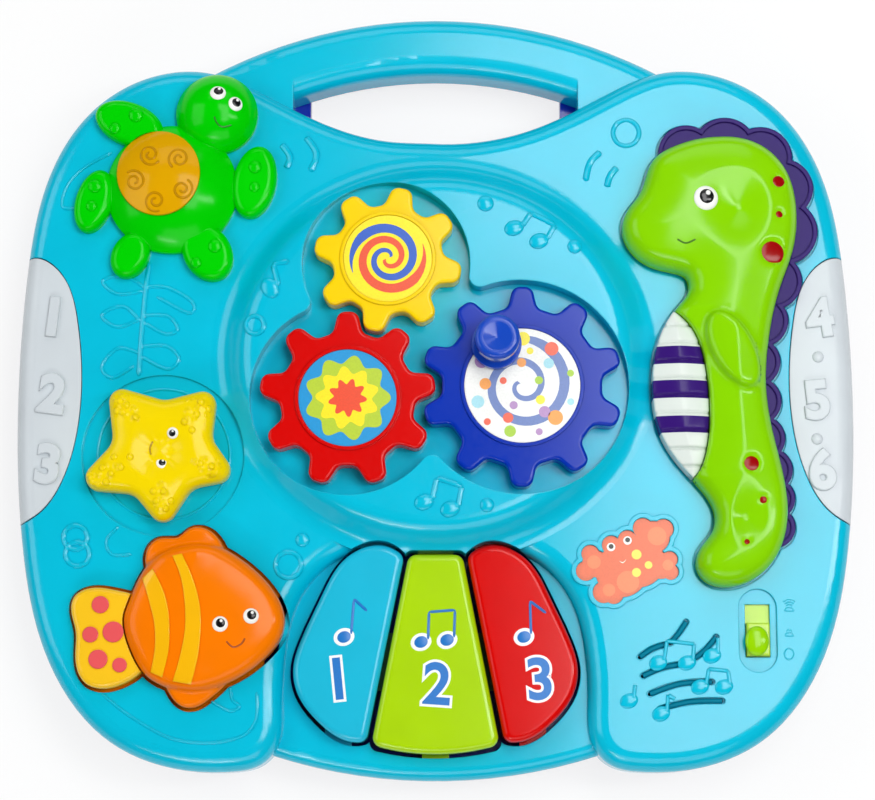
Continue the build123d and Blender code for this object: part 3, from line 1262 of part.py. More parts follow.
with BuildPart() as volume_thumb:
    low = SWITCH_PLATE_Z - SWITCH_PLATE_THICKNESS
    add(slab(THUMB, SWITCH_PLATE_WIDTH, SWITCH_PLATE_LENGTH, low, SWITCH_PLATE_Z))
    with BuildSketch() as pad:
        Rectangle(SWITCH_SLOT_WIDTH - 2 * SWITCH_GAP, THUMB_LENGTH)
    pad_face = pad.sketch.moved(Location((THUMB[0], THUMB[1], 0)))
    add(rounded(pad_face, SWITCH_PLATE_Z, DECK_Z + SWITCH_THUMB_TOP, SWITCH_THUMB_ROUND))
    nub = (THUMB[0], THUMB[1] - THUMB_LENGTH / 2 + SWITCH_SLOT_WIDTH / 2)
    add(drum(nub, SWITCH_NUB_RADIUS, DECK_Z, DECK_Z + SWITCH_THUMB_TOP + SWITCH_NUB_HEIGHT))
    fillet(volume_thumb.edges().group_by(Axis.Z)[-1], SWITCH_THUMB_ROUND)
volume_thumb.part.label = "volume_thumb"

with BuildPart() as slide_switch:
    low = MAIN_BOARD_Z + BOARD_THICKNESS
    add(slab(SWITCH, SWITCH_BODY_WIDTH, SWITCH_BODY_LENGTH, low, low + SWITCH_BODY_HEIGHT))
slide_switch.part.label = "slide_switch"

SPEAKER_LOW_Z = CEILING_Z - SPEAKER_RIM_THICKNESS - SPEAKER_CONE_DEPTH

with BuildPart() as speaker_basket:
    rim_low = CEILING_Z - SPEAKER_RIM_THICKNESS
    mouth = SPEAKER_RADIUS - SPEAKER_RIM
    under = SPEAKER_LOW_Z - SPEAKER_BASKET_WALL
    add(turned(SPEAKER, (
        (SPEAKER_RADIUS, CEILING_Z), (SPEAKER_RADIUS, rim_low), (mouth, rim_low),
        (SPEAKER_NECK_RADIUS + SPEAKER_BASKET_WALL, under), (0, under), (0, SPEAKER_LOW_Z),
        (SPEAKER_NECK_RADIUS, SPEAKER_LOW_Z), (mouth, rim_low + SPEAKER_BASKET_WALL), (mouth, CEILING_Z),
    )))
speaker_basket.part.label = "speaker_basket"

with BuildPart() as speaker_cone:
    skin = SPEAKER_CONE_THICKNESS
    edge = SPEAKER_RADIUS - SPEAKER_RIM - skin
    base = SPEAKER_LOW_Z + skin
    high = CEILING_Z - skin
    add(turned(SPEAKER, (
        (0, base), (SPEAKER_NECK_RADIUS, base + skin), (edge, high - skin),
        (edge, high), (SPEAKER_NECK_RADIUS, base + 2 * skin), (0, base + skin),
    )))
speaker_cone.part.label = "speaker_cone"

with BuildPart() as speaker_magnet:
    high = SPEAKER_LOW_Z - SPEAKER_BASKET_WALL
    add(drum(SPEAKER, SPEAKER_MAGNET_RADIUS, high - SPEAKER_MAGNET_HEIGHT, high))
speaker_magnet.part.label = "speaker_magnet"

BATTERY_Z = FOOT_HEIGHT + DOOR_THICKNESS + CONTACT_GAP + BATTERY_RADIUS

with BuildPart() as batteries:
    for index in range(BATTERY_COUNT):
        x = BOX[0] + (index - (BATTERY_COUNT - 1) / 2) * BATTERY_PITCH
        way = 1 if index % 2 else -1
        start = BOX[1] - way * BATTERY_LENGTH / 2
        can = BATTERY_LENGTH - BATTERY_NIB_LENGTH
        for radius, length in ((BATTERY_RADIUS, can), (BATTERY_NIB_RADIUS, BATTERY_LENGTH)):
            with BuildSketch(Plane((x, start, BATTERY_Z), x_dir=(1, 0, 0), z_dir=(0, way, 0))):
                Circle(radius)
            extrude(amount=length)
batteries.part.label = "batteries"

with BuildPart() as battery_contacts:
    for end in (-1, 1):
        y = BOX[1] + end * (BOX_INNER_LENGTH / 2 - CONTACT_THICKNESS / 2)
        for index in range(BATTERY_COUNT):
            x = BOX[0] + (index - (BATTERY_COUNT - 1) / 2) * BATTERY_PITCH
            low = BATTERY_Z - CONTACT_WIDTH / 2
            add(slab((x, y), CONTACT_WIDTH, CONTACT_THICKNESS, low, low + CONTACT_WIDTH))
battery_contacts.part.label = "battery_contacts"

with BuildPart() as battery_door:
    high = FOOT_HEIGHT + DOOR_THICKNESS
    add(slab(BOX, BOX_WIDTH - 2 * DOOR_GAP, BOX_LENGTH - 2 * DOOR_GAP, FOOT_HEIGHT, high))
    add(drum(DOOR_SCREW, SCREW_RADIUS + SCREW_GAP, 0, high), mode=Mode.SUBTRACT)
battery_door.part.label = "battery_door"

with BuildPart() as battery_door_screw:
    add(screw(DOOR_SCREW, FOOT_HEIGHT, DOOR_SCREW_TOP - FOOT_HEIGHT - SCREW_HEAD_HEIGHT))
battery_door_screw.part.label = "battery_door_screw"

with BuildPart() as case_screws:
    for pixel in CASE_SCREWS_PX:
        add(screw(case_spot(pixel), PARTING_Z - CASE_WEB, CASE_SCREW_LENGTH))
case_screws.part.label = "case_screws"

with BuildPart() as figure_screws:
    for pixel in FIGURE_SCREWS_PX:
        add(screw(place(pixel), CEILING_Z, FIGURE_SCREW_LENGTH))
figure_screws.part.label = "figure_screws"

pieces = [
    top_shell, bottom_shell, side_panel_left, side_panel_right, spinner_bushes,
    blue_gear, blue_gear_label, crank_pin, crank_knob, red_gear, red_gear_label,
    yellow_gear, yellow_gear_label, star, turtle_body, turtle_dome, turtle_lamp,
    seahorse_body, seahorse_belly, seahorse_crest, seahorse_spots, crab_label,
    fish_body, fish_tail, fish_tail_spots, fish_stripes, key_left, key_middle, key_right,
    key_hinge_rod, key_dome_left, key_dome_middle, key_dome_right, fish_dome,
    key_board, fish_board, main_board, volume_thumb, slide_switch,
    speaker_basket, speaker_cone, speaker_magnet, batteries, battery_contacts,
    battery_door, battery_door_screw, case_screws, figure_screws,
]
turners = zip(("blue_gear", "red_gear", "yellow_gear", "star"), SPINNERS)
os.makedirs("parts", exist_ok=True)
for piece in pieces:
    export_step(piece.part, f"parts/{piece.part.label}.step")
for name, (spot, floor) in turners:
    with BuildPart() as washer:
        add(retainer(spot, floor))
    washer.part.label = f"{name}_washer"
    export_step(washer.part, f"parts/{name}_washer.step")
    with BuildPart() as fixing:
        add(retainer_screw(spot, floor))
    fixing.part.label = f"{name}_screw"
    export_step(fixing.part, f"parts/{name}_screw.step")
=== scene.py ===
"""Activity table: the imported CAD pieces, dressed with moulded relief, prints, light and a camera."""
from math import cos, pi, radians, sin

import bpy
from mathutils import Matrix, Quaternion, Vector
from mathutils.bvhtree import BVHTree
from mathutils.kdtree import KDTree


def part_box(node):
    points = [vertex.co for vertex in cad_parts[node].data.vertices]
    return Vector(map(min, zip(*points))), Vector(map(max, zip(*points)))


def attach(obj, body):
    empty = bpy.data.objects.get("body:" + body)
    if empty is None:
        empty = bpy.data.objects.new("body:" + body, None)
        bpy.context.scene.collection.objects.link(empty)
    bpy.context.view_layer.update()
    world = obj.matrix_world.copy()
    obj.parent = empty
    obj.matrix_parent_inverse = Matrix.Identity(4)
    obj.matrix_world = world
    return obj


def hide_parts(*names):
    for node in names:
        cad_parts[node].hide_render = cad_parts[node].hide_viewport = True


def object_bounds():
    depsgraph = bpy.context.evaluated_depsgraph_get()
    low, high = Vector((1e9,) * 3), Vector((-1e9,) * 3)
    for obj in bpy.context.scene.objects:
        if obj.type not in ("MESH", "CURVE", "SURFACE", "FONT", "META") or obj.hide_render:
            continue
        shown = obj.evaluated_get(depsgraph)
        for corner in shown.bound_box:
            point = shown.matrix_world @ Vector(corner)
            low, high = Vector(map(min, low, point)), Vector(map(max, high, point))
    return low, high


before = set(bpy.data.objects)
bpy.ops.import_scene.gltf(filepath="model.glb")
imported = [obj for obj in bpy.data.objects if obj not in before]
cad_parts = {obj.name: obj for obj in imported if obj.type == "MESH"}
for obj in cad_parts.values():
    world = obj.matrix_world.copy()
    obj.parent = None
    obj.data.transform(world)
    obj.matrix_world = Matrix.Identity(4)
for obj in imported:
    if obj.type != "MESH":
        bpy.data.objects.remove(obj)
cad_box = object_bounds()

MM = 0.001

# The photograph, as the housing was measured from it
PHOTO = (875, 800)
PHOTO_AIM = (435.5, 400.0)
PIXEL = 380.0 / 835.0 * MM
RANGE = 1100.0 * MM
TILT = radians(10.0)
AIM = Vector((0.0, -5.142 * MM, 31.5 * MM))
LOOK = Vector((0.0, sin(TILT), -cos(TILT)))
UPRIGHT = Vector((0.0, cos(TILT), sin(TILT)))
EYE = AIM - LOOK * RANGE
DECK = 40.0 * MM

ABOVE = 200.0 * MM

# Widths of raised and printed lines, and the share of its radius that a line sinks in
ARC_LINE = 3.4 * MM
RING_LINE = 2.4 * MM
STAR_RING_LINE = 1.6 * MM
STEM_LINE = 2.6 * MM
LEAF_LINE = 1.8 * MM
WEED_LINE = 1.6 * MM
NOTE_LINE = 2.8 * MM
SMILE_LINE = 1.1 * MM
WHORL_LINE = 1.2 * MM
GRILLE_LINE = 1.8 * MM
# Width and depth of the dark strips painted as shade on the loudspeaker slot floors
SLOT_SHADE_LINE = 2.7 * MM
SLOT_SHADE_DEPTH = 2.3 * MM
SIGN_LINE = 0.7 * MM
ZERO_LINE = 0.8 * MM
SHALLOW = 0.2
LINE_END = 0.45

# Low bosses, figures and ink
BOSS_SEGMENTS = 28
BOSS_RINGS = 14
BOSS_FOOT = 0.3
NOTE_HEAD_RISE = 1.5 * MM
NOTE_HEAD_STRETCH = 1.25
NOTE_HEAD_TURN = radians(20.0)
DOT_RISE = 1.4 * MM
SPOT_RISE = 0.7 * MM
GRAIN_RADIUS = 1.6 * MM
GRAIN_RISE = 0.8 * MM
STRIPE_RISE = 0.6 * MM
PANEL_FIGURE = 16.5 * MM
KEY_FIGURE = 18 * MM
CAPITAL = 0.7
INK = 0.08 * MM
INK_STEP = 0.05 * MM

SHELL = ("top_shell",)
PADS = ("side_panel_left", "side_panel_right")
trees = {}


def search_tree(mesh):
    """Search tree of a mesh's faces."""
    return BVHTree.FromPolygons([v.co for v in mesh.vertices], [p.vertices for p in mesh.polygons])


def tree_of(node):
    """Search tree of a piece, kept for later rays."""
    if node not in trees:
        trees[node] = search_tree(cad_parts[node].data)
    return trees[node]


def first_hit(start, way, nodes):
    """Nearest point and normal where a ray meets the named CAD pieces, or comes closest at deck level."""
    hits = [tree_of(node).ray_cast(start, way.normalized()) for node in nodes]
    hits = [h for h in hits if h[0] is not None]
    if not hits:
        passing = start + way * ((DECK - start.z) / way.z)
        hits = [tree_of(node).find_nearest(passing) for node in nodes]
    near = min(hits, key=lambda h: h[3])
    return near[0], near[1]


def seen(pixel, nodes):
    """Surface point and normal at a pixel of the photograph."""
    across = Vector((1.0, 0.0, 0.0)) * (pixel[0] - PHOTO_AIM[0]) * PIXEL
    up = UPRIGHT * (PHOTO_AIM[1] - pixel[1]) * PIXEL
    return first_hit(EYE, LOOK * RANGE + across + up, nodes)


def under(x, y, nodes):
    """Height of the named CAD pieces below a plan point."""
    return first_hit(Vector((x, y, ABOVE)), Vector((0.0, 0.0, -1.0)), nodes)[0].z


def only(piece):
    """Selects one piece and nothing else."""
    bpy.ops.object.select_all(action="DESELECT")
    piece.select_set(True)
    bpy.context.view_layer.objects.active = piece


def as_mesh(name, data):
    """Puts a curve in the scene and makes it a mesh."""
    piece = bpy.data.objects.new(name, data)
    bpy.context.scene.collection.objects.link(piece)
    only(piece)
    bpy.ops.object.convert(target="MESH")
    return bpy.context.object


def joined(name, pieces):
    """Makes several meshes one piece."""
    only(pieces[0])
    for piece in pieces:
        piece.select_set(True)
    bpy.ops.object.join()
    bpy.context.object.name = name
    return bpy.context.object


def fitted(piece, body, material):
    """Applies a piece's place, shades it, paints it and lets it ride on a body."""
    only(piece)
    bpy.ops.object.transform_apply(location=True, rotation=True, scale=True)
    bpy.ops.object.shade_smooth_by_angle(angle=radians(35.0))
    piece.data.materials.clear()
    piece.data.materials.append(material)
    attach(piece, body)
    return piece


def eased(points, closed=False, steps=7):
    """Points along a smooth line through the given ones."""
    count = len(points)
    spans = count if closed else count - 1
    line = []
    for i in range(spans):
        if closed:
            a, b, c, d = (points[(i + k) % count] for k in (-1, 0, 1, 2))
        else:
            a, b, c, d = (points[min(max(i + k, 0), count - 1)] for k in (-1, 0, 1, 2))
        for s in range(steps):
            t = s / steps
            line.append(tuple(
                0.5 * (
                    2 * q + (r - p) * t + (2 * p - 5 * q + 4 * r - u) * t ** 2
                    + (3 * q - p - 3 * r + u) * t ** 3
                )
                for p, q, r, u in zip(a, b, c, d)
            ))
    return line if closed else line + [tuple(points[-1])]


def ring(centre, radius, squeeze=1.0, count=8):
    """Pixels round a circle, as the photograph foreshortens it."""
    turns = [2 * pi * i / count for i in range(count)]
    return [(centre[0] + radius * cos(t), centre[1] + radius * squeeze * sin(t)) for t in turns]


def ridge(name, lines, thickness, nodes, sunk=0.35):
    """Raised round line moulded on a surface, along pixels of the photograph."""
    data = bpy.data.curves.new(name, "CURVE")
    data.dimensions = "3D"
    data.bevel_depth = thickness / 2
    data.bevel_resolution = 2
    data.use_fill_caps = True
    for pixels, closed in lines:
        spots = [seen(p, nodes) for p in eased(pixels, closed)]
        spline = data.splines.new("POLY")
        spline.points.add(len(spots) - 1)
        for knot, (spot, normal) in zip(spline.points, spots):
            knot.co = (*(spot - normal * sunk * thickness / 2), 1.0)
        if closed:
            spline.use_cyclic_u = True
        else:
            spline.points[0].radius = LINE_END
            spline.points[-1].radius = LINE_END
    return as_mesh(name, data)


def button(name, spot, normal, radius, height, stretch=1.0, turn=0.0):
    """Low round boss that stands on a surface."""
    bpy.ops.object.select_all(action="DESELECT")
    bpy.ops.mesh.primitive_uv_sphere_add(segments=BOSS_SEGMENTS, ring_count=BOSS_RINGS, radius=radius)
    piece = bpy.context.object
    piece.name = name
    bpy.ops.object.mode_set(mode="EDIT")
    bpy.ops.mesh.select_all(action="SELECT")
    bpy.ops.mesh.bisect(
        plane_co=(0.0, 0.0, -BOSS_FOOT * radius), plane_no=(0.0, 0.0, 1.0), use_fill=True, clear_inner=True,
    )
    bpy.ops.mesh.select_all(action="SELECT")
    bpy.ops.transform.resize(value=(stretch, 1.0, height / radius), center_override=(0.0, 0.0, 0.0))
    bpy.ops.object.mode_set(mode="OBJECT")
    piece.rotation_mode = "QUATERNION"
    piece.rotation_quaternion = normal.to_track_quat("Z", "Y") @ Quaternion((0.0, 0.0, 1.0), turn)
    piece.location = spot
    return piece


def print_on(name, outlines, level, thickness=INK):
    """Printed shapes on a level face, from closed outlines in plan."""
    data = bpy.data.curves.new(name, "CURVE")
    data.dimensions = "2D"
    data.fill_mode = "BOTH"
    data.extrude = thickness / 2
    for points in outlines:
        spline = data.splines.new("POLY")
        spline.points.add(len(points) - 1)
        for knot, (x, y) in zip(spline.points, points):
            knot.co = (x, y, 0.0, 1.0)
        spline.use_cyclic_u = True
    piece = as_mesh(name, data)
    piece.location.z = level + thickness / 2
    return piece


def numeral(name, figure, height, thickness, edge, weight=0.0):
    """Plain figure as a mesh, lying at the origin."""
    bpy.ops.object.select_all(action="DESELECT")
    bpy.ops.object.text_add()
    words = bpy.context.object
    words.name = name
    words.data.body = figure
    words.data.size = height / CAPITAL
    words.data.align_x = "CENTER"
    words.data.align_y = "CENTER"
    words.data.extrude = thickness / 2
    words.data.bevel_depth = edge
    words.data.bevel_resolution = 2
    words.data.offset = weight
    words.data.resolution_u = 6
    bpy.ops.object.convert(target="MESH")
    return bpy.context.object


def laid(piece, x, y, turn, nodes, sunk=0.0):
    """Turns a flat piece, moves it to a plan point and lets it down on the surface there."""
    piece.rotation_euler.z = turn
    piece.location = (x, y, 0.0)
    only(piece)
    bpy.ops.object.transform_apply(location=True, rotation=True, scale=True)
    for vertex in piece.data.vertices:
        vertex.co.z += under(vertex.co.x, vertex.co.y, nodes) - sunk
    return piece


# Finishes

def linear(code):
    """Linear colour of an sRGB hex value."""
    parts = [int(code[i:i + 2], 16) / 255 for i in (1, 3, 5)]
    return (*(p / 12.92 if p <= 0.04045 else ((p + 0.055) / 1.055) ** 2.4 for p in parts), 1.0)


def shade(code, share):
    """An sRGB hex value made darker, or lighter for a share above one."""
    return "#" + "".join(f"{min(255, round(int(code[i:i + 2], 16) * share)):02X}" for i in (1, 3, 5))


def add(tree, kind, settings=None, values=None, links=None):
    """Adds a node with its settings, socket values and links."""
    node = tree.nodes.new(kind)
    for key, value in (settings or {}).items():
        setattr(node, key, value)
    for key, value in (values or {}).items():
        node.inputs[key].default_value = value
    for key, source in (links or {}).items():
        tree.links.new(source, node.inputs[key])
    return node


def blank(name):
    """New material with its shader node, and the place of a point on the object."""
    material = bpy.data.materials.new(name)
    material.use_nodes = True
    tree = material.node_tree
    shader = tree.nodes["Principled BSDF"]
    place = add(tree, "ShaderNodeTexCoord").outputs["Object"]
    return material, tree, shader, place


def noise(tree, place, grain, detail):
    """Noise with grains of a size in millimetres."""
    values = {"Scale": 1 / (grain * MM), "Detail": detail}
    return add(tree, "ShaderNodeTexNoise", values=values, links={"Vector": place}).outputs["Fac"]


def between(tree, share, low, high):
    """Value that goes from low to high with a share."""
    values = {"To Min": low, "To Max": high}
    return add(tree, "ShaderNodeMapRange", values=values, links={"Value": share}).outputs["Result"]


def two_tone(tree, share, code, other):
    """Colour that goes from one hex value to another with a share."""
    values = {6: linear(code), 7: linear(other)}
    return add(tree, "ShaderNodeMix", {"data_type": "RGBA"}, values, {0: share}).outputs[2]


def moulded(name, code, roughness=0.15, edge=0.7, drift=0.95, clear=0.0, gleam=0.4):
    """ABS from a polished mould: high gloss, soft edges and a faint drift of colour and gloss."""
    material, tree, shader, place = blank(name)
    tone = two_tone(tree, noise(tree, place, 18, 2.0), code, shade(code, drift))
    skin = noise(tree, place, 2.2, 3.0)
    gloss = between(tree, skin, roughness - 0.04, roughness + 0.06)
    corner = add(tree, "ShaderNodeBevel", {"samples": 4}, {"Radius": edge * MM})
    wave = add(
        tree, "ShaderNodeBump", values={"Strength": 0.12, "Distance": 0.03 * MM},
        links={"Height": skin, "Normal": corner.outputs["Normal"]},
    )
    shader.inputs["IOR"].default_value = 1.5
    shader.inputs["Specular IOR Level"].default_value = gleam
    shader.inputs["Subsurface Weight"].default_value = clear
    shader.inputs["Subsurface Radius"].default_value = (2 * MM, 1.4 * MM, 0.6 * MM)
    tree.links.new(tone, shader.inputs["Base Color"])
    tree.links.new(gloss, shader.inputs["Roughness"])
    tree.links.new(wave.outputs["Normal"], shader.inputs["Normal"])
    return material


def printed(name, code, roughness=0.32):
    """Printed film label: flat ink with a fine speckle under a satin skin."""
    material, tree, shader, place = blank(name)
    speck = noise(tree, place, 0.8, 3.0)
    tone = two_tone(tree, speck, shade(code, 1.04), shade(code, 0.92))
    gloss = between(tree, speck, roughness - 0.06, roughness + 0.06)
    tree.links.new(tone, shader.inputs["Base Color"])
    tree.links.new(gloss, shader.inputs["Roughness"])
    return material


def drawn_steel(name, code, roughness=0.3):
    """Plated steel: bright metal with fine drawing marks."""
    material, tree, shader, place = blank(name)
    marks = noise(tree, place, 0.5, 4.0)
    gloss = between(tree, marks, roughness - 0.1, roughness + 0.1)
    relief_size = {"Strength": 0.2, "Distance": 0.02 * MM}
    bump = add(tree, "ShaderNodeBump", values=relief_size, links={"Height": marks})
    shader.inputs["Base Color"].default_value = linear(code)
    shader.inputs["Metallic"].default_value = 1.0
    tree.links.new(gloss, shader.inputs["Roughness"])
    tree.links.new(bump.outputs["Normal"], shader.inputs["Normal"])
    return material


def matt(name, code, grit, roughness=0.6):
    """Unpolished stuff such as rubber, paper or board: dull, with grit of a real size."""
    material, tree, shader, place = blank(name)
    grain = noise(tree, place, grit, 4.0)
    tone = two_tone(tree, grain, shade(code, 1.1), shade(code, 0.85))
    relief_size = {"Strength": 0.3, "Distance": 0.05 * MM}
    bump = add(tree, "ShaderNodeBump", values=relief_size, links={"Height": grain})
    shader.inputs["Roughness"].default_value = roughness
    tree.links.new(tone, shader.inputs["Base Color"])
    tree.links.new(bump.outputs["Normal"], shader.inputs["Normal"])
    return material


turquoise = moulded("turquoise_moulded_abs", "#00BCDA")
royal = moulded("royal_blue_moulded_abs", "#0428A6")
white = moulded("white_moulded_abs", "#CDD5DA", roughness=0.2, gleam=0.2)
leaf = moulded("green_moulded_abs", "#00CE00", gleam=0.14)
amber = moulded("amber_moulded_styrene", "#DEA402", roughness=0.12, clear=0.15, gleam=0.12)
gold = moulded("yellow_moulded_abs", "#F3D602", gleam=0.18)
orange = moulded("orange_moulded_abs", "#F77A00", gleam=0.16)
marigold = moulded("marigold_moulded_abs", "#F7B808")
straw = moulded("straw_moulded_abs", "#F7C41E")
coral = moulded("coral_moulded_abs", "#E8585C")
sun = moulded("gear_yellow_moulded_abs", "#F5D006", gleam=0.25)
scarlet = moulded("red_moulded_abs", "#D40402", gleam=0.25)
cobalt = moulded("gear_blue_moulded_abs", "#0230AC", gleam=0.25)
lime = moulded("lime_moulded_abs", "#A9D502")
apple = moulded("apple_green_moulded_abs", "#86D000", gleam=0.25)
violet = moulded("violet_moulded_abs", "#2C0E6C", roughness=0.22, edge=0.9, gleam=0.1)
maroon = moulded("maroon_moulded_abs", "#9A0608", gleam=0.2)
pistachio = moulded("pale_lime_moulded_abs", "#BBE238")
bead_white = moulded("eye_white_paint", "#F4F4F0", roughness=0.2, edge=0.2)
bead_black = moulded("eye_black_paint", "#0C0C10", roughness=0.15, edge=0.2)

paint = {
    "top_shell": turquoise, "bottom_shell": royal, "side_panel_left": white, "side_panel_right": white,
    "turtle_body": leaf, "turtle_dome": amber, "star": gold,
    "fish_body": orange, "fish_stripes": marigold, "fish_tail": straw, "fish_tail_spots": coral,
    "yellow_gear": sun, "red_gear": scarlet, "blue_gear": cobalt,
    "crank_knob": moulded("knob_blue_abs", "#1446B8"),
    "key_left": moulded("key_blue_moulded_abs", "#1CB8D8"), "key_middle": lime, "key_right": scarlet,
    "seahorse_body": apple, "seahorse_crest": violet, "seahorse_spots": maroon, "volume_thumb": pistachio,
    "yellow_gear_label": printed("yellow_film_label", "#FCE408"),
    "red_gear_label": printed("blue_film_label", "#0A94D4"),
    "blue_gear_label": printed("white_film_label", "#EFF0EC"),
    "crab_label": printed("salmon_film_label", "#E66C42"),
    "battery_door": royal,
    "batteries": printed("battery_sleeve_film", "#3A3A40"),
    "battery_contacts": drawn_steel("nickel_plated_spring_steel", "#C8C4B8"),
    "key_hinge_rod": drawn_steel("drawn_steel_rod", "#B8B8BC"),
    "crank_pin": drawn_steel("turned_steel_pin", "#BDBDC0"),
    "slide_switch": drawn_steel("tinned_switch_can", "#C4C4C8"),
    "speaker_basket": matt("black_enamelled_steel", "#1C1C20", 0.6, 0.4),
    "speaker_cone": matt("pressed_paper_cone", "#2A2622", 0.9, 0.85),
    "speaker_magnet": matt("sintered_ferrite", "#3A3A3E", 0.4, 0.6),
    "spinner_bushes": moulded("natural_acetal", "#E8E6DC", roughness=0.35),
    "turtle_lamp": moulded("clear_epoxy_lamp", "#F0E8D8", roughness=0.1, clear=0.4),
}
for node in ("key_board", "fish_board", "main_board"):
    paint[node] = matt(node + "_glass_laminate", "#1E6A3A", 1.2, 0.45)
for node in ("key_dome_left", "key_dome_middle", "key_dome_right", "fish_dome"):
    paint[node] = matt(node + "_silicone_rubber", "#8C8E92", 0.7, 0.55)
zinc = drawn_steel("zinc_plated_screw_steel", "#C2C4C8")
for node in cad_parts:
    if node.endswith(("_screw", "_screws", "_washer")):
        paint[node] = zinc


def banded_belly():
    """White moulded belly whose alternate ribs are painted violet, in bands across its length."""
    material, tree, shader, place = blank("white_abs_with_violet_bands")
    rows = [seen((680.0, y), ("seahorse_belly",))[0].y for y in (434.0, 416.6, 399.2, 381.8, 364.4, 347.0)]
    low, high = rows[0] - 60 * MM, rows[-1] + 60 * MM
    axis = add(tree, "ShaderNodeSeparateXYZ", links={0: place})
    length = add(
        tree, "ShaderNodeMapRange", values={"From Min": low, "From Max": high},
        links={"Value": axis.outputs["Y"]},
    )
    bands = add(tree, "ShaderNodeValToRGB", links={"Fac": length.outputs["Result"]})
    ramp = bands.color_ramp
    ramp.interpolation = "CONSTANT"
    ramp.elements[0].color = linear("#D6DED8")
    ramp.elements[1].position = (rows[0] - low) / (high - low)
    ramp.elements[1].color = linear("#34166E")
    for i, row in enumerate(rows[1:]):
        stop = ramp.elements.new((row - low) / (high - low))
        stop.color = linear("#D6DED8" if i % 2 == 0 else "#34166E")
    gloss = between(tree, noise(tree, place, 2.2, 3.0), 0.14, 0.24)
    corner = add(tree, "ShaderNodeBevel", {"samples": 4}, {"Radius": 1.0 * MM})
    shader.inputs["Specular IOR Level"].default_value = 0.15
    tree.links.new(bands.outputs["Color"], shader.inputs["Base Color"])
    tree.links.new(gloss, shader.inputs["Roughness"])
    tree.links.new(corner.outputs["Normal"], shader.inputs["Normal"])
    return material


paint["seahorse_belly"] = banded_belly()
for node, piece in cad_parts.items():
    piece.data.materials.clear()
    piece.data.materials.append(paint[node])


# Figures whose flat tops swell towards the middle

def puffed(node, body, voxel, swell, reach):
    """Stands in for a flat-topped CAD figure with a copy whose top swells from its outline inwards."""
    piece = bpy.data.objects.new(node + "_puffed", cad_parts[node].data.copy())
    bpy.context.scene.collection.objects.link(piece)
    only(piece)
    bpy.ops.object.mode_set(mode="EDIT")
    bpy.ops.mesh.select_all(action="SELECT")
    bpy.ops.mesh.remove_doubles(threshold=0.002 * MM)
    bpy.ops.object.mode_set(mode="OBJECT")
    piece.data.remesh_voxel_size = voxel
    bpy.ops.object.voxel_remesh()
    bpy.ops.object.mode_set(mode="EDIT")
    bpy.ops.mesh.select_all(action="SELECT")
    bpy.ops.mesh.vertices_smooth(factor=0.5, repeat=5)
    bpy.ops.object.mode_set(mode="OBJECT")
    rim = [v.co for v in piece.data.vertices if abs(v.normal.z) < 0.5 and DECK < v.co.z < DECK + 4 * MM]
    edge = KDTree(len(rim))
    for i, spot in enumerate(rim):
        edge.insert((spot.x, spot.y, 0.0), i)
    edge.balance()
    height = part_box(node)[1][2] - DECK
    for vertex in piece.data.vertices:
        inward = min(1.0, edge.find((vertex.co.x, vertex.co.y, 0.0))[2] / reach)
        rise = min(1.0, max(0.0, (vertex.co.z - DECK) / height))
        vertex.co.z += swell * rise * (1 - (1 - inward) ** 2)
    fitted(piece, body, paint[node])
    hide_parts(node)
    trees[node] = search_tree(piece.data)


puffed("seahorse_body", "housing", 1.0 * MM, 6.0 * MM, 28 * MM)
puffed("seahorse_belly", "housing", 0.5 * MM, 3.0 * MM, 14 * MM)
puffed("star", "star", 0.6 * MM, 3.0 * MM, 14 * MM)
puffed("fish_body", "fish", 0.8 * MM, 3.5 * MM, 26 * MM)

bloom = []
for pixel, radius in (
    ((778, 182), 7.0), ((779, 215), 4.2), ((772, 253), 12.3),
    ((751, 464), 8.6), ((763, 500), 4.2), ((747, 542), 3.3),
):
    spot, normal = seen(pixel, ("seahorse_body",))
    bloom.append(button("seahorse_spot", spot, normal, radius * PIXEL, SPOT_RISE))
bloom = fitted(joined("seahorse_spot_caps", bloom), "housing", maroon)
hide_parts("seahorse_spots")


def along(line, share):
    """Pixel at a share of a line of points."""
    place = share * (len(line) - 1)
    i = min(int(place), len(line) - 2)
    return tuple(p + (q - p) * (place - i) for p, q in zip(line[i], line[i + 1]))


def band(name, left, right, node, lift):
    """Raised strip that follows a surface between two lines of pixels."""
    left, right = eased(left), eased(right)
    bpy.ops.object.select_all(action="DESELECT")
    bpy.ops.mesh.primitive_grid_add(x_subdivisions=12, y_subdivisions=60, size=1.0)
    piece = bpy.context.object
    piece.name = name
    for vertex in piece.data.vertices:
        u, v = 0.5 + vertex.co.x, 0.5 - vertex.co.y
        pixel = tuple(p + (q - p) * u for p, q in zip(along(left, v), along(right, v)))
        spot, normal = seen(pixel, (node,))
        vertex.co = spot + normal * lift
    shell = piece.modifiers.new("thickness", "SOLIDIFY")
    shell.thickness = 2 * lift
    shell.offset = -1.0
    only(piece)
    bpy.ops.object.modifier_apply(modifier=shell.name)
    return piece


stripes = [
    band(
        "fish_stripe", [(143, 579), (149, 600), (154.5, 624), (155, 648), (151, 672)],
        [(153, 569), (164, 592), (169, 616), (169, 648), (162.5, 677)], "fish_body", STRIPE_RISE,
    ),
    band(
        "fish_stripe", [(172.5, 556), (180.5, 576), (184.5, 600), (185, 628), (180, 656), (173, 681)],
        [(182, 554), (192, 576), (199, 600), (201, 624), (198, 656), (191, 684)], "fish_body", STRIPE_RISE,
    ),
]
stripes = fitted(joined("fish_stripe_strips", stripes), "fish", marigold)
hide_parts("fish_stripes")


# Eyes and smiles

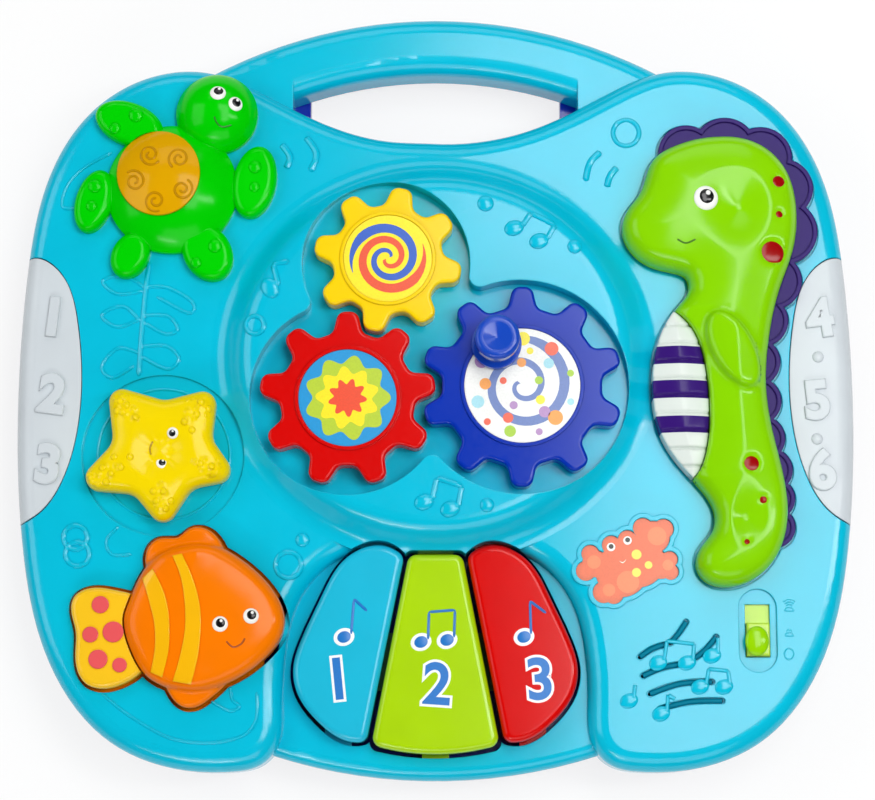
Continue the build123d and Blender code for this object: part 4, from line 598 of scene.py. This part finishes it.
def eye(name, pixel, node, body, radius, gaze=(0.0, 0.0)):
    """Raised white eye with a black pupil and a glint."""
    spot, normal = seen(pixel, (node,))
    size = radius * PIXEL
    side = Vector((1.0, 0.0, 0.0))
    ahead = normal.cross(side).normalized()
    look = spot + (side * gaze[0] + ahead * gaze[1]) * size
    ball = button(name + "_eye", spot, normal, size, 0.30 * size)
    pupil = button(name + "_pupil", look + normal * 0.19 * size, normal, 0.62 * size, 0.17 * size)
    shine = look + normal * 0.31 * size + (side * 0.10 + ahead * 0.30) * size
    glint = button(name + "_glint", shine, normal, 0.2 * size, 0.10 * size)
    fitted(ball, body, bead_white)
    fitted(pupil, body, bead_black)
    fitted(glint, body, bead_white)


eye("turtle_left", (218.0, 93.0), "turtle_body", "housing", 8.0, (0.05, 0.12))
eye("turtle_right", (235.5, 104.0), "turtle_body", "housing", 7.5, (0.05, 0.12))
eye("star_upper", (172.6, 433.0), "star", "star", 5.8)
eye("star_lower", (162.0, 463.0), "star", "star", 5.8)
eye("fish_left", (220.0, 624.0), "fish_body", "fish", 7.6, (0.05, 0.1))
eye("fish_right", (251.0, 616.0), "fish_body", "fish", 7.6, (0.05, 0.1))
eye("seahorse", (706.0, 198.0), "seahorse_body", "housing", 12.4, (0.0, 0.08))

# Smile lines are low ridges in a darker shade of each figure's colour: painted shade standing in for the
# shade in a moulded smile groove
smiles = (
    ("turtle_smile", [(214, 116), (217, 123), (223, 127), (232, 125)], "turtle_body", "housing", "#068206"),
    ("star_smile", [(153, 441), (150, 448), (151, 455)], "star", "star", "#B08A00"),
    ("fish_smile", [(226, 641), (233, 647), (241, 644), (245, 638)], "fish_body", "fish", "#A84A00"),
    ("seahorse_smile", [(677, 239), (686, 243), (696, 239)], "seahorse_body", "housing", "#3E7400"),
)
for name, line, node, body, code in smiles:
    groove = ridge(name, [(line, False)], SMILE_LINE, (node,), 0.6)
    fitted(groove, body, moulded(name + "_painted_groove_shade_abs", code, roughness=0.3, edge=0.2))


# Turtle shell and flippers, and the star's grains

def whorl(centre, radius, turns, start):
    """Pixels along a small spiral."""
    count = int(14 * turns)
    line = []
    for i in range(count + 1):
        share = i / count
        turn = start + 2 * pi * turns * share
        reach = radius * (1 - 0.82 * share)
        line.append((centre[0] + reach * cos(turn), centre[1] + reach * sin(turn)))
    return line


whorls = (
    ((150, 154.5), 0.6), ((179, 158.5), 2.2), ((134.5, 181), 4.0), ((182, 189), 5.2), ((155.5, 200.5), 1.2),
)
whorl_lines = [(whorl(c, 11.0, 1.6, s), False) for c, s in whorls]
swirl = ridge("turtle_dome_whorls", whorl_lines, WHORL_LINE, ("turtle_dome",), SHALLOW)
# The whorls take a darker amber than the dome: painted shade standing in for the shade in the engraved
# spiral lines
whorl_shade_amber = moulded("amber_whorl_painted_groove_shade", "#C48C00", roughness=0.2, edge=0.2, gleam=0.12)
fitted(swirl, "housing", whorl_shade_amber)

bumps = (
    ((136, 115), 7.5), ((115, 128), 5.8), ((95, 186), 7.0), ((91.5, 206), 5.6),
    ((255, 167), 6.6), ((254.5, 187), 5.4), ((215, 246), 7.0), ((196, 262.5), 5.4),
)
warts = []
for pixel, radius in bumps:
    spot, normal = seen(pixel, ("turtle_body",))
    warts.append(button("turtle_bump", spot, normal, radius * PIXEL, 0.4 * radius * PIXEL))
fitted(joined("turtle_bumps", warts), "housing", leaf)

grains = []
for pixel in (
    (117, 411), (120, 401), (127, 405), (122, 412), (136, 417),
    (201, 402), (209, 409), (197, 414), (184, 422), (192, 430),
    (200, 464), (212, 466), (153, 491), (163, 491), (156, 501), (171, 501), (166, 509),
    (91, 478), (98, 485), (106, 482), (111, 473), (102, 468), (114, 457), (130, 457), (121, 467),
):
    spot, normal = seen(pixel, ("star",))
    grains.append(button("star_grain", spot, normal, GRAIN_RADIUS, GRAIN_RISE))
fitted(joined("star_grains", grains), "star", gold)


# Relief on the deck and the mound

relief = [
    ridge("motion_arcs", [
        ([(281.5, 144.5), (290, 157), (286.5, 168.5)], False),
        ([(306, 137), (316.5, 154), (310.5, 171.5)], False),
        ([(600.5, 152), (590, 163), (585.5, 181)], False),
        ([(617, 167.5), (610, 176), (607, 187)], False),
    ], ARC_LINE, SHELL, SHALLOW),
    ridge("rings", [
        (ring((255, 325), 9), True), (ring((626, 133), 13), True), (ring((288.5, 565), 13), True),
        (ring((75.5, 537.5), 12), True), (ring((77.5, 554), 12), True),
    ], RING_LINE, SHELL, 0.15),
    ridge("star_ring", [(ring((164, 454.5), 66, 0.985, 24), True)], STAR_RING_LINE, SHELL),
    ridge("weed_stem", [
        ([(150, 262), (146, 289), (141.5, 336), (138.8, 376)], False),
    ], STEM_LINE, SHELL, SHALLOW),
    ridge("weed_leaves", [
        ([(139, 353), (118, 348.5), (102, 366), (112, 378), (134, 366)], False),
        ([(140, 347), (165, 346), (179, 358), (167, 369), (140, 356)], False),
        ([(141.5, 322), (123, 306.5), (102, 315), (117, 327), (141, 319)], False),
        ([(142, 316), (167, 316), (178, 329), (165, 334), (143, 322)], False),
        ([(145, 288), (124, 276), (103, 281), (117, 294), (144, 291)], False),
        ([(146, 287), (168, 288), (193, 303), (188, 313), (157, 297)], False),
    ], LEAF_LINE, SHELL, SHALLOW),
    ridge("weed_lines", [
        ([(112, 152.5), (84, 168), (67, 186), (63, 207), (78.5, 208)], False),
        ([(118.5, 526.5), (106.5, 540.5), (112, 554.5), (131.5, 554.5)], False),
        ([(230, 686), (232.5, 700), (239.5, 706.5), (229.5, 711), (210, 701)], False),
        ([(102, 694), (130, 716), (170, 738), (210, 743), (242, 736), (256, 720), (257, 692)], False),
    ], WEED_LINE, SHELL, SHALLOW),
]


def note(name, head, top, flag, size=11.0):
    """Music note in relief: an oval head, a stem and a flag, or a beam to a second note."""
    spot, normal = seen(head, SHELL)
    oval = button(
        name + "_head", spot, normal, 0.8 * size * PIXEL, NOTE_HEAD_RISE, NOTE_HEAD_STRETCH, NOTE_HEAD_TURN,
    )
    stem = [(head[0] + 0.8 * size, head[1] - 2), top]
    line = ridge(name + "_stem", [(stem, False), ([top, flag], False)], NOTE_LINE, SHELL, SHALLOW)
    return [oval, line]


relief += note("mound_note", (270, 288), (273, 264), (289, 261))
relief += note("crest_note_a", (514, 228), (531, 213), (555, 225), 10.0)
relief += note("crest_note_b", (539, 241), (555, 225), (555, 225), 10.0)
relief += note("front_note_a", (424, 502), (437, 478), (462, 486), 10.0)
relief += note("front_note_b", (450, 509), (462, 486), (462, 486), 10.0)
for pixel, radius in (((485.5, 203.5), 8.2), ((574.5, 246.5), 7.2), ((487, 505), 7.0), ((302.5, 540), 7.0)):
    spot, normal = seen(pixel, SHELL)
    relief.append(button("relief_dot", spot, normal, radius * PIXEL, DOT_RISE))
fitted(joined("deck_relief", relief), "housing", turquoise)


# Notes that bridge the loudspeaker slots, and painted shade on the slot floors

def plan(pixel, level):
    """Plan point of a pixel on a level."""
    across = Vector((1.0, 0.0, 0.0)) * (pixel[0] - PHOTO_AIM[0]) * PIXEL
    way = LOOK * RANGE + across + UPRIGHT * (PHOTO_AIM[1] - pixel[1]) * PIXEL
    spot = EYE + way * ((level - EYE.z) / way.z)
    return spot.x, spot.y


def bar(name, lines, thickness, level):
    """Straight raised bars on a level, over openings too."""
    data = bpy.data.curves.new(name, "CURVE")
    data.dimensions = "3D"
    data.bevel_depth = thickness / 2
    data.bevel_resolution = 3
    data.use_fill_caps = True
    for pixels in lines:
        spline = data.splines.new("POLY")
        spline.points.add(len(pixels) - 1)
        for knot, pixel in zip(spline.points, pixels):
            knot.co = (*plan(pixel, level), level, 1.0)
    return as_mesh(name, data)


grille = []
for head in ((658, 663), (687, 663), (712, 656), (700, 687), (724, 687), (629, 701), (661, 714)):
    x, y = plan(head, DECK)
    spot = Vector((x, y, DECK - 0.2 * MM))
    upward = Vector((0.0, 0.0, 1.0))
    grille.append(button("grille_head", spot, upward, 3.4 * MM, 1.2 * MM, NOTE_HEAD_STRETCH, 0.35))
stems = [
    [(664, 660), (667, 641)], [(693, 660), (694, 644)], [(667, 641), (694, 644)], [(718, 653), (718, 638)],
    [(706, 684), (709, 669)], [(730, 684), (728, 671)], [(709, 669), (728, 671)], [(634, 698), (635, 685)],
    [(667, 711), (668, 695)], [(668, 695), (675, 699)],
]
grille.append(bar("grille_stems", stems, GRILLE_LINE, DECK))
fitted(joined("grille_notes", grille), "housing", turquoise)

slots = (
    [(640, 657), (652, 649), (664, 645)], [(670, 643), (678, 634), (686, 622)],
    [(643, 676), (662, 668), (684, 664)], [(690, 661), (703, 652), (716, 637)],
    [(650, 694), (680, 684), (712, 682)], [(660, 709), (690, 702), (722, 701)],
)
# Dark turquoise strips down in the loudspeaker slots are painted shade: they darken the slot floors where
# shade falls
slot_shade = bar("grille_slot_painted_shade", [eased(line) for line in slots], SLOT_SHADE_LINE, DECK - SLOT_SHADE_DEPTH)
slot_shade_blue = moulded("painted_shade_turquoise_grille_slots", "#047E98", roughness=0.5, edge=0.2, gleam=0.05)
fitted(slot_shade, "housing", slot_shade_blue)


# Raised figures on the side panels

left_figures = (("1", (53, 319), -6.0), ("2", (52, 396), -8.0), ("3", (48, 466), -6.0))
right_figures = (("4", (820, 320), 8.0), ("5", (817, 402), 5.0), ("6", (822, 472), 6.0))
raised = []
for figure, pixel, turn in left_figures + right_figures:
    glyph = numeral("figure_" + figure, figure, PANEL_FIGURE, 1.8 * MM, 0.6 * MM, 0.7 * MM)
    spot = seen(pixel, PADS)[0]
    raised.append(laid(glyph, spot.x, spot.y, radians(turn), PADS))
for pixel in ((818, 357), (817, 439)):
    spot, normal = seen(pixel, PADS)
    raised.append(button("panel_dot", spot, normal, 2.6 * MM, 1.3 * MM))
fitted(joined("panel_figures", raised), "housing", white)


# Key prints

ink_blue = printed("blue_pad_print", "#1272C4")
ink_white = printed("white_pad_print", "#F2F4F4")
keys = (
    ("key_left", "1", (338, 681), 6.0, (344, 637), (354, 599), (367, 611), None),
    ("key_middle", "2", (437, 686), -4.0, (421, 642), (429, 612), (455, 610), (447, 640)),
    ("key_right", "3", (540, 681), 4.0, (524, 637), (530, 601), (546, 613), None),
)
layers = (("halo", ink_white, 4.4, 8.6, 0.90), ("face", ink_blue, 1.4, 6.0, 0.30))
for node, figure, pixel, turn, head, top, flag, second in keys:
    spot = seen(pixel, (node,))[0]
    halo = numeral(node + "_figure_halo", figure, KEY_FIGURE, 0.06 * MM, 0.0, 1.6 * MM)
    face = numeral(node + "_figure", figure, KEY_FIGURE, 0.10 * MM, 0.0, 0.5 * MM)
    fitted(laid(halo, spot.x, spot.y, radians(turn), (node,)), node, ink_white)
    fitted(laid(face, spot.x, spot.y, radians(turn), (node,), -0.03 * MM), node, ink_blue)
    strokes = [([(head[0] + 7, head[1] - 2), top], False), ([top, flag], False)]
    heads = [head]
    if second:
        strokes.append(([(second[0] + 7, second[1] - 2), flag], False))
        heads.append(second)
    for kind, ink, width, size, sunk in layers:
        sign = [ridge(node + "_note_" + kind, strokes, width * MM, (node,), sunk)]
        for middle in heads:
            spot, normal = seen(middle, (node,))
            rise = width / 2 * (1 - sunk) * MM
            sign.append(button(node + "_note_head", spot, normal, size * PIXEL, rise, 1.2, NOTE_HEAD_TURN))
        fitted(joined(node + "_note_" + kind, sign), node, ink)


# Gear prints

def hub(node):
    """Middle of a gear's label in plan, its top and its radius."""
    low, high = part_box(node)
    return (low[0] + high[0]) / 2, (low[1] + high[1]) / 2, high[2], (high[0] - low[0]) / 2


def spiral(x, y, inner, outer, turns, width, start):
    """Closed outline of a spiral band that widens outwards."""
    count = int(40 * turns)
    near, far = [], []
    for i in range(count + 1):
        share = i / count
        turn = start + 2 * pi * turns * share
        middle = inner + (outer - inner) * share
        half = width / 2 * (0.35 + 0.65 * share) * min(1.0, 8 * (1 - share) + 0.05)
        far.append((x + (middle + half) * cos(turn), y + (middle + half) * sin(turn)))
        near.append((x + (middle - half) * cos(turn), y + (middle - half) * sin(turn)))
    return far + near[::-1]


def burst(x, y, radius, wave, points, turn):
    """Closed outline of a star with rounded points."""
    outline = []
    for i in range(160):
        a = 2 * pi * i / 160
        reach = radius + wave * cos(points * (a - turn))
        outline.append((x + reach * cos(a), y + reach * sin(a)))
    return outline


def disc(x, y, radius):
    """Closed outline of a circle."""
    return [(x + radius * cos(2 * pi * i / 32), y + radius * sin(2 * pi * i / 32)) for i in range(32)]


x, y, top, reach = hub("yellow_gear_label")
for name, code, start in (("blue", "#2A5CC0", 0.4), ("red", "#E8502C", 0.4 + pi)):
    outline = spiral(x, y, 1.5 * MM, 0.86 * reach, 1.5, 0.24 * reach, start)
    ribbon = print_on("yellow_gear_" + name + "_spiral", [outline], top)
    fitted(ribbon, "yellow_gear", printed(name + "_spiral_ink", code))

x, y, top, reach = hub("red_gear_label")
stars = (
    ("lime", "#B6CE2C", 0.80, 0.085), ("yellow", "#FDE40A", 0.58, 0.075), ("orange", "#EC4C28", 0.34, 0.06),
)
for i, (name, code, share, wave) in enumerate(stars):
    outline = burst(x, y, share * reach, wave * reach, 9, 0.3 * i)
    shape = print_on("red_gear_" + name + "_star", [outline], top + i * INK_STEP)
    fitted(shape, "red_gear", printed(name + "_star_ink", code))

x, y, top, reach = hub("blue_gear_label")
coil = print_on("blue_gear_spiral", [spiral(x, y, 2.0 * MM, 0.88 * reach, 2.0, 0.20 * reach, 2.4)], top)
fitted(coil, "blue_gear", printed("slate_blue_spiral_ink", "#6A82BC"))
dots = (
    ("lime", "#A8D03A", ((0.30, 0.3, 0.07), (0.60, 2.0, 0.11), (0.83, 4.45, 0.10), (0.86, 0.25, 0.06))),
    ("orange", "#F4A04A", ((0.40, 1.6, 0.08), (0.64, 3.1, 0.10), (0.80, 5.5, 0.13), (0.86, 2.1, 0.07))),
    ("red", "#F0654A", ((0.34, 2.9, 0.06), (0.62, 4.3, 0.09), (0.82, 0.9, 0.12), (0.88, 3.95, 0.06))),
    ("lilac", "#B48CC0", ((0.38, 4.3, 0.07), (0.60, 5.4, 0.10), (0.82, 2.6, 0.12), (0.86, 5.05, 0.06))),
    ("sky", "#A4DCE8", ((0.60, 0.7, 0.09), (0.82, 3.5, 0.11), (0.88, 5.95, 0.06))),
    ("yellow", "#F8E83A", ((0.40, 5.6, 0.08), (0.82, 1.55, 0.12), (0.62, 1.35, 0.06))),
)
for name, code, spots in dots:
    rounds = [disc(x + s * reach * cos(t), y + s * reach * sin(t), size * reach) for s, t, size in spots]
    spread = print_on("blue_gear_" + name + "_dots", rounds, top + INK_STEP)
    fitted(spread, "blue_gear", printed(name + "_dot_ink", code))


# Crab print

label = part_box("crab_label")[1][2]
spots = []
for pixel, radius in (((636.5, 554.5), 2.2), ((648.5, 565.0), 1.7), ((636.5, 572.5), 2.0)):
    spots.append(disc(*plan(pixel, label), radius * MM))
fitted(print_on("crab_spots", spots, label), "housing", printed("crab_yellow_ink", "#F6E456"))
glow = []
for pixel, radius in (
    ((594, 562), 3.0), ((657, 536), 4.2), ((668, 565), 2.4), ((609, 590), 2.8), ((628, 582), 5.0),
):
    glow.append(disc(*plan(pixel, label), radius * MM))
lights = print_on("crab_lights", glow, label, INK_STEP)
fitted(lights, "housing", printed("crab_peach_ink", "#EE8452"))
for name, pixel in (("crab_left", (611.0, 547.0)), ("crab_right", (627.5, 540.5))):
    x, y = plan(pixel, label)
    for part, size, lift, code in (("white", 1.9, 0.0, "#F6F6F2"), ("dark", 1.1, 0.06, "#2A2A26")):
        outline = disc(x + lift * MM, y + 4 * lift * MM, size * MM)
        shape = print_on(name + "_" + part, [outline], label + lift * MM)
        fitted(shape, "housing", printed(name + "_" + part + "_ink", code))
grin = eased([(619.5, 561.0), (623.0, 562.0), (626.5, 559.0)])
below = [(p[0], p[1] + 1.1 * sin(pi * i / (len(grin) - 1))) for i, p in enumerate(grin)]
curve = [plan(p, label) for p in grin] + [plan(p, label) for p in below[-2:0:-1]]
fitted(print_on("crab_grin", [curve], label), "housing", printed("crab_grin_ink", "#FFF2E0"))


# Switch signs

def wave_sign(centre, size, waves):
    """Loudspeaker sign with sound waves, drawn in lines."""
    cx, cy = centre
    horn = [
        (cx - size, cy + 2), (cx + size, cy + 2), (cx + 0.5 * size, cy - 1), (cx - 0.5 * size, cy - 1),
        (cx - size, cy + 2),
    ]
    lines = [(horn, False)]
    for i in range(waves):
        reach = (0.7 + 0.35 * i) * size
        side = cy - 3 - 2 * i
        lines.append(([(cx - reach, side), (cx, cy - 4.5 - 2.4 * i), (cx + reach, side)], False))
    return lines


sign_lines = wave_sign((789, 609), 4.5, 3) + wave_sign((789, 634), 4.0, 1)
signs = ridge("switch_signs", sign_lines, SIGN_LINE, SHELL + PADS)
zero = ridge("switch_zero", [(ring((789, 654), 4.6, 1.2), True)], ZERO_LINE, SHELL + PADS)
fitted(joined("switch_signs", [signs, zero]), "housing", turquoise)


spot, normal = seen((757.0, 641.0), ("volume_thumb",))
cap = button("volume_thumb_cap", spot, Vector((0.0, 0.0, 1.0)), 6.6 * MM, 1.9 * MM, 0.8)
fitted(cap, "volume_thumb", moulded("leaf_green_thumb_cap_abs", "#96D400", gleam=0.25))


# Floor, light and camera

def pale_floor():
    """Pale studio paper that reads as white from the camera and keeps the object's shadow."""
    material, tree, shader, place = blank("pale_studio_paper")
    tone = two_tone(tree, noise(tree, place, 3, 3.0), "#F4F4F4", "#EFEFEF")
    tree.links.new(tone, shader.inputs["Base Color"])
    shader.inputs["Roughness"].default_value = 0.9
    path = add(tree, "ShaderNodeLightPath")
    mirror = add(
        tree, "ShaderNodeMath", {"operation": "MAXIMUM"},
        links={0: path.outputs["Is Glossy Ray"], 1: path.outputs["Is Transmission Ray"]},
    )
    view = add(
        tree, "ShaderNodeMath", {"operation": "MAXIMUM"},
        links={0: path.outputs["Is Camera Ray"], 1: mirror.outputs[0]},
    )
    share = add(tree, "ShaderNodeMath", {"operation": "MULTIPLY"}, {1: 0.8}, {0: view.outputs[0]})
    glow = add(tree, "ShaderNodeEmission", values={"Color": (1.0, 1.0, 1.0, 1.0), "Strength": 1.0})
    blend = add(
        tree, "ShaderNodeMixShader",
        links={0: share.outputs[0], 1: shader.outputs[0], 2: glow.outputs[0]},
    )
    tree.links.new(blend.outputs[0], tree.nodes["Material Output"].inputs["Surface"])
    return material


bpy.ops.object.select_all(action="DESELECT")
bpy.ops.mesh.primitive_plane_add(size=30.0, location=(0.0, 0.0, cad_box[0].z))
floor = bpy.context.object
floor.name = "studio_floor"
bpy.ops.object.transform_apply(location=True, rotation=True, scale=True)
floor.data.materials.append(pale_floor())

world = bpy.data.worlds.new("studio_white")
bpy.context.scene.world = world
world.use_nodes = True
sky = world.node_tree
dome = sky.nodes["Background"]
dome.inputs["Color"].default_value = (1.0, 1.0, 1.0, 1.0)
dome.inputs["Strength"].default_value = 0.08


def softbox(name, place, aim, width, depth, watts):
    """Rectangular area lamp turned towards a point."""
    lamp = bpy.data.lights.new(name, "AREA")
    lamp.shape = "RECTANGLE"
    lamp.size = width
    lamp.size_y = depth
    lamp.energy = watts
    holder = bpy.data.objects.new(name, lamp)
    bpy.context.scene.collection.objects.link(holder)
    holder.location = place
    holder.rotation_mode = "QUATERNION"
    holder.rotation_quaternion = (Vector(aim) - Vector(place)).to_track_quat("-Z", "Y")


softbox("near_softbox", (0.34, -0.015, 1.15), (0.34, -0.015, 0.0), 0.42, 0.57, 4.9)
softbox("far_softbox", (0.275, 0.445, 1.15), (0.275, 0.445, 0.0), 0.55, 0.35, 3.9)
softbox("left_fill", (-1.05, 0.15, 0.85), (0.0, 0.0, 0.0), 1.10, 0.70, 5.6)
softbox("front_fill", (0.10, -1.10, 0.80), (0.0, 0.0, 0.0), 1.10, 0.60, 4.0)
softbox("back_fill", (0.0, 1.15, 0.85), (0.0, 0.0, 0.0), 1.10, 0.60, 3.5)
softbox("right_window", (0.78, 0.0, 1.05), (0.0, 0.0, 0.0), 0.16, 0.50, 3.2)
softbox("front_strip", (-0.30, -0.95, 0.60), (0.0, 0.0, 0.0), 0.50, 0.05, 1.5)

lens = bpy.data.cameras.new("photo_camera")
lens.sensor_width = 36.0
lens.lens = 36.0 * RANGE / (PHOTO[0] * PIXEL)
lens.shift_x = (PHOTO[0] / 2 - PHOTO_AIM[0]) / PHOTO[0]
lens.clip_start = 0.05
lens.clip_end = 60.0
camera = bpy.data.objects.new("photo_camera", lens)
bpy.context.scene.collection.objects.link(camera)
camera.location = EYE
camera.rotation_euler = (TILT, 0.0, 0.0)
bpy.context.scene.camera = camera
bpy.context.scene.view_settings.view_transform = "Standard"
